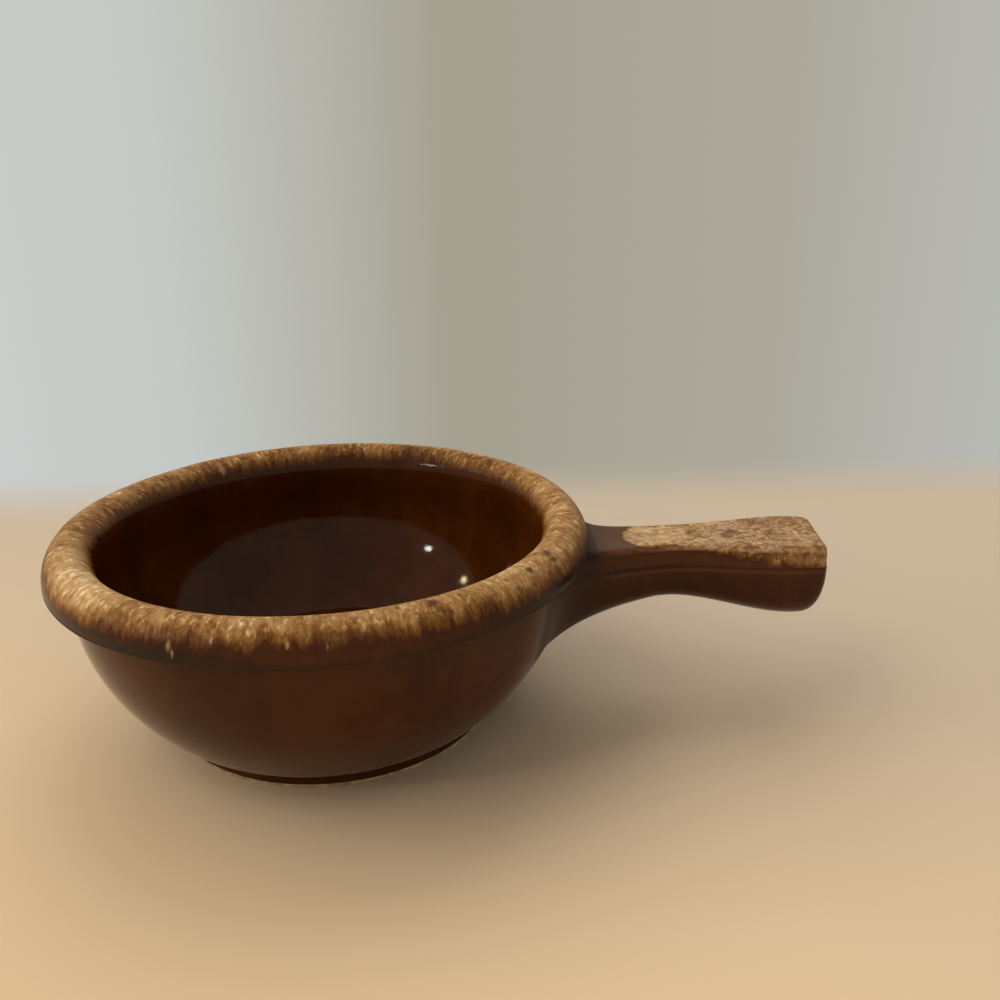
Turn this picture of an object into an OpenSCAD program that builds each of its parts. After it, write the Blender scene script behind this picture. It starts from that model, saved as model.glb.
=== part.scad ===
// Handled soup bowl in glazed stoneware: a round bowl with a rolled rim, a foot ring
// and one flat-topped handle, as the clay pieces and glaze coats that go into the kiln.
// Millimetres, Z up. The origin is the middle of the foot on the table, and the handle
// points along +X.

/* [Rim] */
// Width across the rim, over the glaze
rim_dia = 133; // [115:0.5:160]
// Height of the rim's crest above the table
bowl_height = 52.8; // [46:0.2:65]
// Width of the rolled rim, from its inner lip to its outermost edge
rim_width = 12; // [11:0.2:15]
// Height of the crest above the widest circle of the rim
rim_rise = 7.7; // [6:0.1:9]
// Depth of the rim's underside below its widest circle
rim_drop = 1.5; // [1.2:0.1:2.4]

/* [Wall] */
// How far the rim stands out over the wall
rim_overhang = 5.2; // [4.6:0.1:5.8]
// How far below the rim's widest circle the wall is upright
upright_drop = 4.1; // [2:0.1:8]
// Thickness of the wall where it is upright, over the glaze
wall_thickness = 5.3; // [4:0.1:6.2]
// Height of the inside floor above the table
floor_height = 7; // [5:0.2:9]
// Width across the flat floor, before its edge is rounded
floor_dia = 75.4; // [66:0.2:82]
// Length of the rounding between the floor and the inside wall
floor_rounding = 6; // [2:0.5:9]

/* [Foot] */
// Width across the foot ring
foot_dia = 81.8; // [76:0.2:86]
// Height of the bare foot ring
foot_height = 2.5; // [2:0.1:4]
// Width of the ring that touches the table
foot_width = 5; // [3:0.5:9]
// Depth of the recess under the bowl
foot_recess = 2; // [1:0.1:2.4]
// Size of the worn edge round the foot
foot_edge = 0.5; // [0.2:0.1:1]

/* [Handle] */
// Length of the handle beyond the rim
handle_length = 61.6; // [50:0.1:80]
// Length of the rounded end of the handle
end_length = 8; // [7:0.1:13]
// Distance from the rim to the narrowest place of the handle
waist_distance = 21.5; // [14:0.5:30]
// Distance from the rim to the neck, where the flare of the root starts
neck_distance = 5.5; // [3:0.5:9]
// How far the handle's flat top lies below the rim's crest
handle_drop = 8.5; // [7.8:0.1:9.8]
// Drop of the flat top from the waist to the neck
neck_drop = 0.8; // [0:0.1:2]
// Thickness from the flat top down to the mould seam
slab_thickness = 5.35; // [4:0.05:7]
// Width of the flat top at the neck
neck_width = 18.2; // [14:0.2:22]
// Width of the flat top at the waist
waist_width = 15.2; // [12:0.2:18]
// Width of the flat top at the shoulders of the end
end_width = 23.2; // [16:0.2:28]
// Stand-out of the seam beyond the edge of the top, on each side
seam_stand_out = 0.8; // [0.4:0.1:2]
// Depth of the rounded underside below the seam, at the neck
neck_depth = 13; // [11:0.1:15]
// Depth of the rounded underside below the seam, at the waist
waist_depth = 10.7; // [8:0.1:13]
// Depth of the rounded underside below the seam, at the shoulders
end_depth = 16.1; // [11:0.1:18]
// Width of the root where it lands on the wall
root_width = 27; // [22:0.2:32]
// How far below the rim's crest the seam meets the wall
root_seam_drop = 15.3; // [12.5:0.1:18]
// Depth of the root below the seam, where it meets the wall
root_depth = 22; // [17:0.5:25]

/* [Glaze] */
// Thickness of the brown glaze
glaze = 0.5; // [0.4:0.05:0.6]
// Thickness of the tan glaze that runs over the rim
rim_glaze_thickness = 0.8; // [0.5:0.05:1]
// Thickness of the slip that sticks the handle to the wall
slip = 0.35; // [0.25:0.05:0.4]

/* [Hidden] */
$fn = 96;

clay_colour = "#c9b491";
slip_colour = "#a8926f";
brown_colour = "#3b1d13";
tan_colour = "#b58d55";

rim_radius = rim_dia / 2;
roll_half = rim_width / 2;
roll_radius = rim_radius - roll_half;
roll_height = bowl_height - rim_rise;
wall_radius = rim_radius - rim_overhang;
upright_height = roll_height - upright_drop;
foot_radius = foot_dia / 2;
foot_inner_radius = foot_radius - foot_width;
inside_radius = wall_radius - wall_thickness;
floor_radius = floor_dia / 2;
handle_reach = rim_radius + handle_length;
shoulder_reach = handle_reach - end_length;
waist_reach = rim_radius + waist_distance;
neck_reach = rim_radius + neck_distance;
handle_height = bowl_height - handle_drop;
root_half_width = root_width / 2;
root_seam_height = bowl_height - root_seam_drop;
overrun = 1;
// Room behind the slip for the flats between its points, on a wall that bulges out
slip_room = 0.12;

wall_points = 18;
roll_step = 10;
bend_points = 4;
side_rows = 3;
belly_rows = 9;
top_columns = 8;
flare_steps = 6;
body_steps = 12;
// Last angle of the belly's outline, short of straight down so that its lowest strip is flat
belly_last_angle = 81;
// Roundness of the underside: two is a true ellipse and more is squarer
belly_power = 2.6;
// Roundness of the handle's end in plan, under the seam and over it
end_plan_power = 5;
end_belly_power = 4;
end_top_power = 8;
end_angles = [18, 34, 48, 60, 70, 78, 84];
// How the waist widens towards the neck
neck_power = 2.3;
// Pull of the root's curve towards the neck: along the handle, across it and in height
flare_shares = [0.44, 0.8, 0.64];
// Height of the glaze pooled on top of the root, as a share of the glaze's thickness
pool_share = 0.6;
// Height of the floor's rounding, as a share of its length
rounding_rise_share = 0.6;

// Half-height of the ellipse that is upright at one radius and passes a lower point
function ellipse_drop(radius, low_radius, low_height) =
    (upright_height - low_height) / sqrt(1 - pow(low_radius / radius, 2));

wall_drop = ellipse_drop(wall_radius, foot_radius, foot_height);
inside_drop = ellipse_drop(inside_radius, floor_radius, floor_height);

function curve_radius(radius, drop, height) =
    radius * sqrt(max(0, 1 - pow((upright_height - height) / drop, 2)));

// Radius of the outer wall at a height, grown by a coat or shrunk to the clay
function wall_at(height, grown) = curve_radius(wall_radius + grown, wall_drop + grown, height);
function inside_at(height, grown) = curve_radius(inside_radius - grown, inside_drop - grown, height);

// Point of the rolled rim's section at an angle from its outermost point
function roll_point(angle, grown) = [
    roll_radius + (roll_half + grown) * cos(angle),
    roll_height + ((sin(angle) > 0 ? rim_rise : rim_drop) + grown) * sin(angle)
];

// Angles at which the roll meets the outer wall, below it, and the inside wall
function roll_start(grown, coat) = -acos((wall_radius + coat - roll_radius) / (roll_half + grown));
function roll_end(grown, coat) = 180 + acos((roll_radius - inside_radius + coat) / (roll_half + grown));

function roll_points(grown, coat) =
    let (first = roll_start(grown, coat),
         last = roll_end(grown, coat),
         steps = ceil((last - first) / roll_step))
    [for (i = [0:steps]) roll_point(first + (last - first) * i / steps, grown)];

clay_roll = roll_points(-rim_glaze_thickness, -glaze);
finished_roll = roll_points(0, 0);
rim_under_height = finished_roll[0][1];
lip_under_height = finished_roll[len(finished_roll) - 1][1];

function spread(low, high, steps) = [for (i = [0:steps]) low + (high - low) * i / steps];

function wall_curve(grown, low, high) = [for (h = spread(low, high, wall_points)) [wall_at(h, grown), h]];

// Inside surface from the middle of the floor up to a height
function inside_curve(grown, high) =
    let (floor = floor_height + grown,
         corner = [inside_at(floor_height, grown), floor],
         start = [corner[0] - floor_rounding, floor],
         bend_height = floor + rounding_rise_share * floor_rounding,
         finish = [inside_at(bend_height, grown), bend_height])
    concat(
        [[0, floor]],
        [for (t = spread(0, 1, bend_points))
            (1 - t) * (1 - t) * start + 2 * t * (1 - t) * corner + t * t * finish],
        [for (h = spread(bend_height, high, wall_points)) if (h > bend_height) [inside_at(h, grown), h]]
    );

function reversed(list) = [for (i = [len(list) - 1:-1:0]) list[i]];

clay_under_height = clay_roll[0][1];
clay_lip_height = clay_roll[len(clay_roll) - 1][1];
clay_wall = wall_curve(-glaze, foot_height, clay_under_height);
clay_inside = inside_curve(-glaze, clay_lip_height);
finished_wall = wall_curve(0, foot_height, rim_under_height);
finished_inside = inside_curve(0, lip_under_height);

// Clay bowl: foot ring, wall, rolled rim and floor, thrown in one
module bowl_body() {
    color(clay_colour)
        rotate_extrude()
            polygon(concat(
                [[0, foot_recess],
                 [foot_inner_radius, foot_recess],
                 [foot_inner_radius, 0],
                 [foot_radius - foot_edge, 0],
                 [foot_radius, foot_edge],
                 [foot_radius, foot_height]],
                clay_wall,
                clay_roll,
                reversed(clay_inside)
            ));
}

// Brown glaze on the whole inside, up to the lip of the rim
module lining_glaze() {
    color(brown_colour)
        rotate_extrude()
            polygon(concat(
                finished_inside,
                [[inside_at(lip_under_height, -glaze), lip_under_height]],
                reversed([for (p = clay_inside) if (p[1] < lip_under_height) p])
            ));
}

// Brown glaze on the outer wall, from the foot to the rim, left open where the handle is stuck on
module wall_glaze() {
    color(brown_colour)
        difference() {
            rotate_extrude()
                polygon(concat(
                    finished_wall,
                    reversed(wall_curve(-glaze, foot_height, rim_under_height))
                ));
            handle_port();
        }
}

// Brown glaze in the recess under the bowl
module foot_glaze() {
    color(brown_colour)
        translate([0, 0, foot_recess - glaze])
            cylinder(r = foot_inner_radius, h = glaze);
}

// Tan glaze that runs over the rolled rim, from its inner lip to its underside
module rim_glaze() {
    color(tan_colour)
        rotate_extrude()
            polygon(concat(
                finished_roll,
                [[inside_at(lip_under_height, -glaze), lip_under_height]],
                reversed(clay_roll),
                [[wall_at(rim_under_height, -glaze), rim_under_height]]
            ));
}

// Sizes of the handle's section at a distance from the axis
function swell(reach) = let (t = (reach - waist_reach) / (shoulder_reach - waist_reach)) t * t * (3 - 2 * t);
function pinch(reach) = pow((waist_reach - reach) / (waist_reach - neck_reach), neck_power);
function blend(reach, neck, waist, end) =
    reach < waist_reach ? waist + (neck - waist) * pinch(reach) : waist + (end - waist) * swell(reach);
function half_width_at(reach) = blend(reach, neck_width, waist_width, end_width) / 2;
function depth_at(reach) = blend(reach, neck_depth, waist_depth, end_depth);
function top_at(reach) = handle_height - neck_drop
    * max(0, (waist_reach - reach) / (waist_reach - neck_reach));

// Half of a section from the edge of its top, down the slab's side and round the belly
function half_outline(half_width, top, seam, depth, shrink = [1, 1, 1]) = concat(
    [for (t = spread(0, 1, side_rows))
        [(half_width + seam_stand_out * t) * shrink[0], seam + (top - seam) * (1 - t) * shrink[1]]],
    [for (i = [1:belly_rows]) let (a = belly_last_angle * i / belly_rows)
        [(half_width + seam_stand_out) * pow(cos(a), 2 / belly_power) * shrink[0],
         seam - depth * pow(sin(a), 2 / belly_power) * shrink[2]]]
);

function section_half(reach, grown, shrink = [1, 1, 1]) =
    let (seam = top_at(reach) - slab_thickness)
    half_outline(half_width_at(reach) + grown, top_at(reach) + grown, seam, depth_at(reach) + grown, shrink);

function root_half(grown) = half_outline(
    root_half_width + grown, rim_under_height + pool_share * (grown + glaze),
    root_seam_height, root_depth + grown
);

// Across the flat of one row, from the right edge to the left
function across(row) = [for (t = spread(1, -1, top_columns)) [row[0] * t, row[1]]];
function mirrored(row) = [-row[0], row[1]];
function middle(list) = [for (i = [1:len(list) - 2]) list[i]];

// Over the top from the right seam to the left one, and back under the belly
function over(half) = concat(
    [for (i = [side_rows:-1:1]) half[i]],
    across(half[0]),
    [for (i = [1:side_rows]) mirrored(half[i])]
);
function under(half) = let (last = len(half) - 1) concat(
    [for (i = [side_rows:last - 1]) mirrored(half[i])],
    reversed(across(half[last])),
    [for (i = [last - 1:-1:side_rows]) half[i]]
);
function ring(half) = concat(over(half), middle(under(half)), [half[side_rows]]);

// Radius of the finished bowl at a height, on the wall or on the rim's underside
function finished_at(height) = height <= rim_under_height
    ? wall_at(height, 0)
    : roll_radius + roll_half * sqrt(max(0, 1 - pow((roll_height - height) / rim_drop, 2)));

function on_finished(p) = [sqrt(pow(finished_at(p[1]), 2) - p[0] * p[0]), p[0], p[1]];
function on_clay(p, off) = [sqrt(pow(wall_at(p[1], -glaze), 2) - p[0] * p[0]) + off, p[0], p[1]];
function at_reach(p, reach) = [reach, p[0], p[1]];

// Curve of the root's flare between a landing point and the neck
function flare_point(start, finish, t) =
    let (pull = [for (i = [0:2]) start[i] + (finish[i] - start[i]) * flare_shares[i]])
    (1 - t) * (1 - t) * start + 2 * t * (1 - t) * pull + t * t * finish;

function rounded(share, power) = pow(1 - pow(share, power), 1 / power);
// How far a section has shrunk at a share of the rounded end: across, above and below the seam
function end_shrink(share) = [
    rounded(share, end_plan_power), rounded(share, end_top_power), rounded(share, end_belly_power)
];

// The handle's skin as rows of points, one row for each station from the wall to the tip.
// part is 0 for the whole ring, 1 for the top and slab sides, 2 for the belly
function path(half, part) = part == 0 ? ring(half) : part == 1 ? over(half) : under(half);

function skin(grown, part) =
    let (landing = [for (p = path(root_half(grown), part)) on_finished(p)],
         neck = [for (p = path(section_half(neck_reach, grown), part)) at_reach(p, neck_reach)])
    concat(
        [for (t = spread(0, 1, flare_steps))
            [for (i = [0:len(neck) - 1]) flare_point(landing[i], neck[i], t)]],
        [for (i = [1:body_steps])
            let (reach = neck_reach + (shoulder_reach - neck_reach) * i / body_steps)
            [for (p = path(section_half(reach, grown), part)) at_reach(p, reach)]],
        [for (a = end_angles)
            let (share = sin(a))
            [for (p = path(section_half(shoulder_reach, grown, end_shrink(share)), part))
                at_reach(p, shoulder_reach + (end_length + grown) * share)]]
    );

// Faces of a grid of points, two triangles for each cell, numbered from a first point
function grid_faces(grid, first) =
    let (columns = len(grid[0]))
    [for (r = [0:len(grid) - 2]) for (c = [0:columns - 2])
        let (p = first + r * columns + c)
        each [[p, p + 1, p + columns + 1], [p, p + columns + 1, p + columns]]];

function first_point(grids, index) = index == 0 ? 0
    : first_point(grids, index - 1) + len(grids[index - 1]) * len(grids[index - 1][0]);

// Closed solid from grids of points that share their edges, all facing outwards
module skinned(grids) {
    polyhedron(
        points = [for (grid = grids) for (row = grid) each row],
        faces = [for (i = [0:len(grids) - 1]) each grid_faces(grids[i], first_point(grids, i))]
    );
}

// Rows straight across a section, which close an end of the handle
function across_rows(half) = [for (row = half) across(row)];

// Flat end of the handle's tip. Its rows run down from the top to the belly
function tip_rows(grown) =
    let (share = sin(end_angles[len(end_angles) - 1]))
    [for (row = across_rows(section_half(shoulder_reach, grown, end_shrink(share))))
        [for (p = row) at_reach(p, shoulder_reach + (end_length + grown) * share)]];

function rows_between(rows, first, last) = [for (i = [first:last]) rows[i]];

// Coat of glaze between the finished skin and the clay, over part 1 or 2 of the handle
module coat(part) {
    outer = skin(0, part);
    inner = skin(-glaze, part);
    last = len(outer[0]) - 1;
    tip = len(outer) - 1;
    first_row = part == 1 ? 0 : side_rows;
    last_row = part == 1 ? side_rows : side_rows + belly_rows;
    outer_tip = tip_rows(0);
    inner_tip = tip_rows(-glaze);
    seam_strip = [outer_tip[side_rows], inner_tip[side_rows]];
    skinned([
        outer,
        reversed(inner),
        [inner[0], outer[0]],
        [for (i = [0:tip]) [inner[i][0], outer[i][0]]],
        [for (i = [0:tip]) [outer[i][last], inner[i][last]]],
        rows_between(outer_tip, first_row, last_row),
        reversed(rows_between(inner_tip, first_row, last_row)),
        part == 1 ? seam_strip : reversed(seam_strip)
    ]);
}

clay_root = root_half(-glaze);

// Clay handle: a flat-topped slab over a rounded belly, with its root shaped to the wall
module handle() {
    seat_ring = [for (p = ring(clay_root)) on_clay(p, slip)];
    seat = [for (row = across_rows(clay_root)) [for (p = row) on_clay(p, slip)]];
    color(clay_colour)
        skinned([concat([seat_ring], skin(-glaze, 0)), reversed(seat), tip_rows(-glaze)]);
}

// Slip that sticks the handle's root to the clay wall
module joint_slip() {
    front = [for (row = across_rows(clay_root)) [for (p = row) on_clay(p, slip)]];
    back = [for (row = across_rows(clay_root)) [for (p = row) on_clay(p, slip_room)]];
    edge = ring(clay_root);
    color(slip_colour)
        skinned([
            front,
            reversed(back),
            [[for (p = edge) on_clay(p, slip_room)], [for (p = edge) on_clay(p, slip)]]
        ]);
}

// Opening in the wall's glaze, of the root's own outline
module handle_port() {
    outline = ring(clay_root);
    translate([foot_inner_radius, 0, 0])
        rotate([90, 0, 90])
            linear_extrude(rim_radius - foot_inner_radius)
                polygon([for (p = outline) [p[0], p[1] >= rim_under_height ? p[1] + overrun : p[1]]]);
}

// Brown glaze round the handle's belly, from seam to seam
module handle_glaze() {
    color(brown_colour)
        coat(2);
}

// Tan glaze over the handle's flat top and the sides of its slab
module handle_top_glaze() {
    color(tan_colour)
        coat(1);
}

bowl_body();
handle();
joint_slip();
lining_glaze();
wall_glaze();
foot_glaze();
rim_glaze();
handle_glaze();
handle_top_glaze();
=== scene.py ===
"""Looks of a handled soup bowl in glazed stoneware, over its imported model.

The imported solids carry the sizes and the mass. Here each one that shows is stood for by a smooth
piece of the same form, dressed as fired clay or as running glaze. Sizes are in millimetres in
the classes and become metres in the meshes. The handle points along +X, and the table is at Z = 0.
"""

from __future__ import annotations

import logging
import math
from dataclasses import dataclass
from enum import Enum
from functools import cached_property
from typing import Callable, Sequence

import bmesh
import bpy
from mathutils import Matrix, Vector, noise

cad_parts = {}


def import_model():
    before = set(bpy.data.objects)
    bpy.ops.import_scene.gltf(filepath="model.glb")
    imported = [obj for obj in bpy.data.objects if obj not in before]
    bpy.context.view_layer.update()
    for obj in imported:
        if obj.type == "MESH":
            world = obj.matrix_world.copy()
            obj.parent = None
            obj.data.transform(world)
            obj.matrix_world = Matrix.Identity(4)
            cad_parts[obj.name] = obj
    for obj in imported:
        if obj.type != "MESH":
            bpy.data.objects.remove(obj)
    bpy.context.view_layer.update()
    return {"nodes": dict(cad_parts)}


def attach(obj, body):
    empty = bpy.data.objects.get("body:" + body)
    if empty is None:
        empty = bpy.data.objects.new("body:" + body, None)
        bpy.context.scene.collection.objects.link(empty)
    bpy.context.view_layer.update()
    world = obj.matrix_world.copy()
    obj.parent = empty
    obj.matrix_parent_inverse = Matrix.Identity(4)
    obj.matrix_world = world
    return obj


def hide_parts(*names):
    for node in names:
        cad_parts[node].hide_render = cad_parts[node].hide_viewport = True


log = logging.getLogger("soup_bowl")

MM = 0.001
SHARP_FROM = math.radians(38)
SECTORS = 16
WELD = 0.002
# Heights between which the warp of the clay sets in, its seed, and length, depth and start of its waves.
WARP_FROM, WARP_FULL = 1.0, 9.0
WARP_SEED = 11
WARPS = ((34.0, 0.26, (3.1, 7.7, 1.9)), (11.0, 0.05, (9.3, 2.2, 5.4)))

Rgb = tuple[int, int, int]
Place = tuple[float, float, float]
Point2 = tuple[float, float]
Socket = bpy.types.NodeSocket
Sockets = dict[str, Socket]
Value = float | Socket


class Slot(Enum):
    """Material slots of the record."""

    CLAY = "clay"
    LINING = "lining_brown"
    WALL = "wall_brown"
    FOOT = "foot_brown"
    RIM = "rim_tan"
    HANDLE = "handle_brown"
    HANDLE_TOP = "handle_tan"


class Coat(Enum):
    """The handle's two coats of glaze."""

    TOP = 0
    BELLY = 1


class Stretch(Enum):
    """Stretches of half a section of the handle, from the middle of its top to its lowest line."""

    FLAT = 0
    ARRIS = 1
    SIDE = 2
    BELLY = 3


# Shapes


def spread(low: float, high: float, steps: int) -> list[float]:
    """Evenly spaced values.

    Args:
        low: First value.
        high: Last value.
        steps: How many steps lie between them.

    Returns:
        One value more than there are steps.
    """
    return [low + (high - low) * i / steps for i in range(steps + 1)]


def smoothstep(low: float, high: float, value: float) -> float:
    """A soft step.

    Args:
        low: Where it leaves 0.
        high: Where it reaches 1.
        value: Place on the step.

    Returns:
        Height of the step there, from 0 to 1.
    """
    t = min(1.0, max(0.0, (value - low) / (high - low)))
    return t * t * (3 - 2 * t)


def settle(place: Vector) -> Vector:
    """Moves a point by the slight warp that throwing and firing leave in the clay.

    Args:
        place: A point in millimetres.

    Returns:
        The warped point. Neighbouring pieces warp alike, so they stay closed.
    """
    moved = Vector()
    for length, depth, start in WARPS:
        moved += noise.noise_vector(place / length + Vector(start)) * depth
    return place + moved * smoothstep(WARP_FROM, WARP_FULL, place.z)


def to_object(name: str, mesh_of: bmesh.types.BMesh, finish: bpy.types.Material) -> bpy.types.Object:
    """Turns a finished shape into a smooth piece in the scene.

    Args:
        name: Name of the piece.
        mesh_of: Shape in metres, in place. It is freed.
        finish: Material of the piece.

    Returns:
        The new object, at the origin.
    """
    for face in mesh_of.faces:
        face.smooth = True
    for edge in mesh_of.edges:
        edge.smooth = edge.calc_face_angle(0.0) < SHARP_FROM
    mesh = bpy.data.meshes.new(name)
    mesh_of.to_mesh(mesh)
    mesh_of.free()
    mesh.materials.append(finish)
    piece = bpy.data.objects.new(name, mesh)
    bpy.context.scene.collection.objects.link(piece)
    return piece


def stand_in(
    name: str, shape: bmesh.types.BMesh, finish: bpy.types.Material, node: str
) -> None:
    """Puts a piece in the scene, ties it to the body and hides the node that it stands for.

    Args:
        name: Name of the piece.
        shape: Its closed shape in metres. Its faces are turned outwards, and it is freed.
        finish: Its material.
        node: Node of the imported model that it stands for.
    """
    bmesh.ops.recalc_face_normals(shape, faces=shape.faces)
    piece = to_object(name, shape, finish)
    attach(piece, "root")
    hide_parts(node)
    log.info("%s stands for %s: %d faces", piece.name, node, len(piece.data.polygons))


def turned(outline: Sequence[Point2], steps: int, on_axis: bool) -> bmesh.types.BMesh:
    """Spins a closed outline round the upright axis, one sector first and then the rest from it.

    Args:
        outline: Radius and height of each corner, in order round the section.
        steps: Number of flats round the circle, a multiple of the number of sectors.
        on_axis: Whether the outline starts and ends on the axis, where it is left open.

    Returns:
        The closed solid, in metres.
    """
    bm = bmesh.new()
    corners = [bm.verts.new(Vector((r, 0, z)) * MM) for r, z in outline]
    pairs = list(zip(corners, corners[1:]))
    if not on_axis:
        pairs.append((corners[-1], corners[0]))
    edges = [bm.edges.new(pair) for pair in pairs]
    bmesh.ops.spin(
        bm,
        geom=corners + edges,
        cent=(0, 0, 0),
        axis=(0, 0, 1),
        angle=math.tau / SECTORS,
        steps=steps // SECTORS,
    )
    first = bm.verts[:] + bm.edges[:] + bm.faces[:]
    for index in range(1, SECTORS):
        copy = bmesh.ops.duplicate(bm, geom=first)["geom"]
        turn = Matrix.Rotation(math.tau * index / SECTORS, 3, "Z")
        moved = [item for item in copy if isinstance(item, bmesh.types.BMVert)]
        bmesh.ops.rotate(bm, verts=moved, cent=(0, 0, 0), matrix=turn)
    bmesh.ops.remove_doubles(bm, verts=bm.verts, dist=WELD * MM)
    for vert in bm.verts:
        vert.co = settle(vert.co / MM) * MM
    return bm


@dataclass(frozen=True)
class BowlForm:
    """Sizes of the bowl and the curves of its section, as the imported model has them."""

    rim_radius: float = 66.5
    crest_height: float = 52.8
    roll_half: float = 6.0
    rim_rise: float = 7.7
    rim_drop: float = 1.5
    wall_radius: float = 61.3
    upright_height: float = 41.0
    wall_drop: float = 51.69
    inside_radius: float = 56.0
    inside_drop: float = 45.98
    floor_height: float = 7.0
    floor_rounding: float = 6.0
    foot_radius: float = 40.9
    foot_inner_radius: float = 35.9
    foot_height: float = 2.5
    foot_recess: float = 2.0
    foot_edge: float = 0.5
    foot_inner_edge: float = 0.4
    glaze: float = 0.5
    rim_glaze: float = 0.8
    # Height at which the inside wall starts to draw in, and height of the bead of bare clay.
    lip_start: float = 31.0
    bare_foot: float = 0.9
    # Distances from the crease up to which it is softened in full, and at all.
    crease_core: float = 1.0
    crease_reach: float = 4.0
    crease_passes: int = 110
    # Length of the turned-in edge of a coat, and depth of the clay behind the wall coat's lower edge.
    coat_step: float = 0.05
    hem_step: float = 0.6
    # Lower edge of the wall coat, out and up from the bare clay, and edge of the foot coat, in and down.
    hem: tuple[Point2, ...] = ((-0.45, 0.02), (-0.15, -0.04), (0.06, 0.12), (0.1, 0.4), (0.04, 0.8))
    recess_hem: tuple[Point2, ...] = ((0.7, 0.04), (0.25, 0.25), (0.0, 0.5))

    @property
    def roll_radius(self) -> float:
        """Radius of the circle at the middle of the roll."""
        return self.rim_radius - self.roll_half

    @property
    def roll_height(self) -> float:
        """Height of the roll's widest circle."""
        return self.crest_height - self.rim_rise

    @property
    def lip_height(self) -> float:
        """Height at which the rim's glaze meets the lining."""
        return self.roll_point(self.roll_ends(0, 0)[1])[1]

    def bowed(self, height: float, radius: float, drop: float) -> float:
        """Radius of a bowed wall, which is part of an ellipse.

        Args:
            height: Height above the table.
            radius: Its radius where it stands upright.
            drop: How far below that height it would close.

        Returns:
            The radius at the first height.
        """
        lean = 1 - ((self.upright_height - height) / drop) ** 2
        return radius * math.sqrt(max(0.0, lean))

    def wall_at(self, height: float, grown: float = 0.0) -> float:
        """Radius of the outer wall.

        Args:
            height: Height above the table.
            grown: How far the surface lies outside the finished one.

        Returns:
            The radius at that height.
        """
        return self.bowed(height, self.wall_radius + grown, self.wall_drop + grown)

    def inside_at(self, height: float, grown: float = 0.0) -> float:
        """Radius of the inside wall.

        Args:
            height: Height above the table.
            grown: How far the surface stands into the bowl from the finished one.

        Returns:
            The radius at that height.
        """
        return self.bowed(height, self.inside_radius - grown, self.inside_drop - grown)

    def roll_point(self, angle: float, grown: float = 0.0) -> Point2:
        """Point of the roll's section.

        Args:
            angle: Angle in degrees from its outermost point, up over the crest.
            grown: How far the surface lies outside the finished one.

        Returns:
            Radius and height.
        """
        turn = math.radians(angle)
        rise = self.rim_rise if 0 < angle < 180 else self.rim_drop
        return (
            self.roll_radius + (self.roll_half + grown) * math.cos(turn),
            self.roll_height + (rise + grown) * math.sin(turn),
        )

    def roll_ends(self, grown: float, coat: float) -> Point2:
        """Angles at which the roll meets the outer wall and the inside wall.

        Args:
            grown: How far the roll lies outside its finished surface.
            coat: How far the two walls lie outside theirs.

        Returns:
            First and last angle in degrees.
        """
        half = self.roll_half + grown
        first = -math.degrees(math.acos((self.wall_radius + coat - self.roll_radius) / half))
        inner = self.roll_radius - self.inside_radius + coat
        return first, 180 + math.degrees(math.acos(inner / half))

    def finished_at(self, height: float) -> float:
        """Radius of the finished outside, on the wall or on the roll over it.

        Args:
            height: Height above the table.

        Returns:
            The radius at that height.
        """
        if height <= self.crease[1]:
            return self.wall_at(height)
        rise = self.rim_drop if height < self.roll_height else self.rim_rise
        share = 1 - ((height - self.roll_height) / rise) ** 2
        return self.roll_radius + self.roll_half * math.sqrt(max(0.0, share))

    @property
    def crease(self) -> Point2:
        """Radius and height of the crease where the roll stands on the outer wall."""
        return self.wall_radius, self.roll_point(self.roll_ends(0, 0)[0])[1]

    @cached_property
    def outer_line(self) -> list[Point2]:
        """Finished outside of the bowl, softened in its crease.

        Returns:
            Its points from the foot to the crease, over the roll and to the inside wall.
        """
        corner = Vector(self.crease)
        under = corner.y
        fine = under - 3.0
        heights = spread(self.foot_height, fine, 44) + spread(fine, under, 24)[1:]
        wall = [(self.wall_at(h), h) for h in heights]
        roll = self.roll_outline(0, 0, 132)[1:]
        lip = self.roll_height
        roll = [p for p in roll if p[0] > self.roll_radius or p[1] > lip]
        roll += [(self.lip_at(h, 0), h) for h in (lip, lip - 0.5, self.lip_height)]

        def near(point: Point2) -> float:
            """Weight of a point near the crease under the roll."""
            off = (Vector(point) - corner).length
            return 1.0 - smoothstep(self.crease_core, self.crease_reach, off)

        return softened(wall + roll, 0.9, self.crease_passes, near)

    @property
    def crease_index(self) -> int:
        """Where the coats of wall and rim meet on the outside line.

        Returns:
            Index of the line's point that is nearest to the crease.
        """
        target = Vector(self.crease)
        line = self.outer_line
        return min(range(len(line)), key=lambda i: (Vector(line[i]) - target).length)

    def outside_at(self, height: float) -> float:
        """Radius of the outside line, up to the crest of the roll.

        Args:
            height: Height above the table.

        Returns:
            The radius at that height.
        """
        for (low_radius, low), (radius, top) in zip(self.outer_line, self.outer_line[1:]):
            if low <= height <= top:
                share = (height - low) / max(top - low, 1e-6)
                return low_radius + (radius - low_radius) * share
        return self.outer_line[0][0] if height < self.foot_height else self.roll_radius

    def roll_outline(self, grown: float, coat: float, steps: int) -> list[Point2]:
        """Section of the roll from the outer wall over the crest to the inside wall.

        Args:
            grown: How far the roll lies outside its finished surface.
            coat: How far the two walls lie outside theirs.
            steps: Number of flats along it.

        Returns:
            Its points in that order.
        """
        first, last = self.roll_ends(grown, coat)
        return [self.roll_point(a, grown) for a in spread(first, last, steps)]

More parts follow.
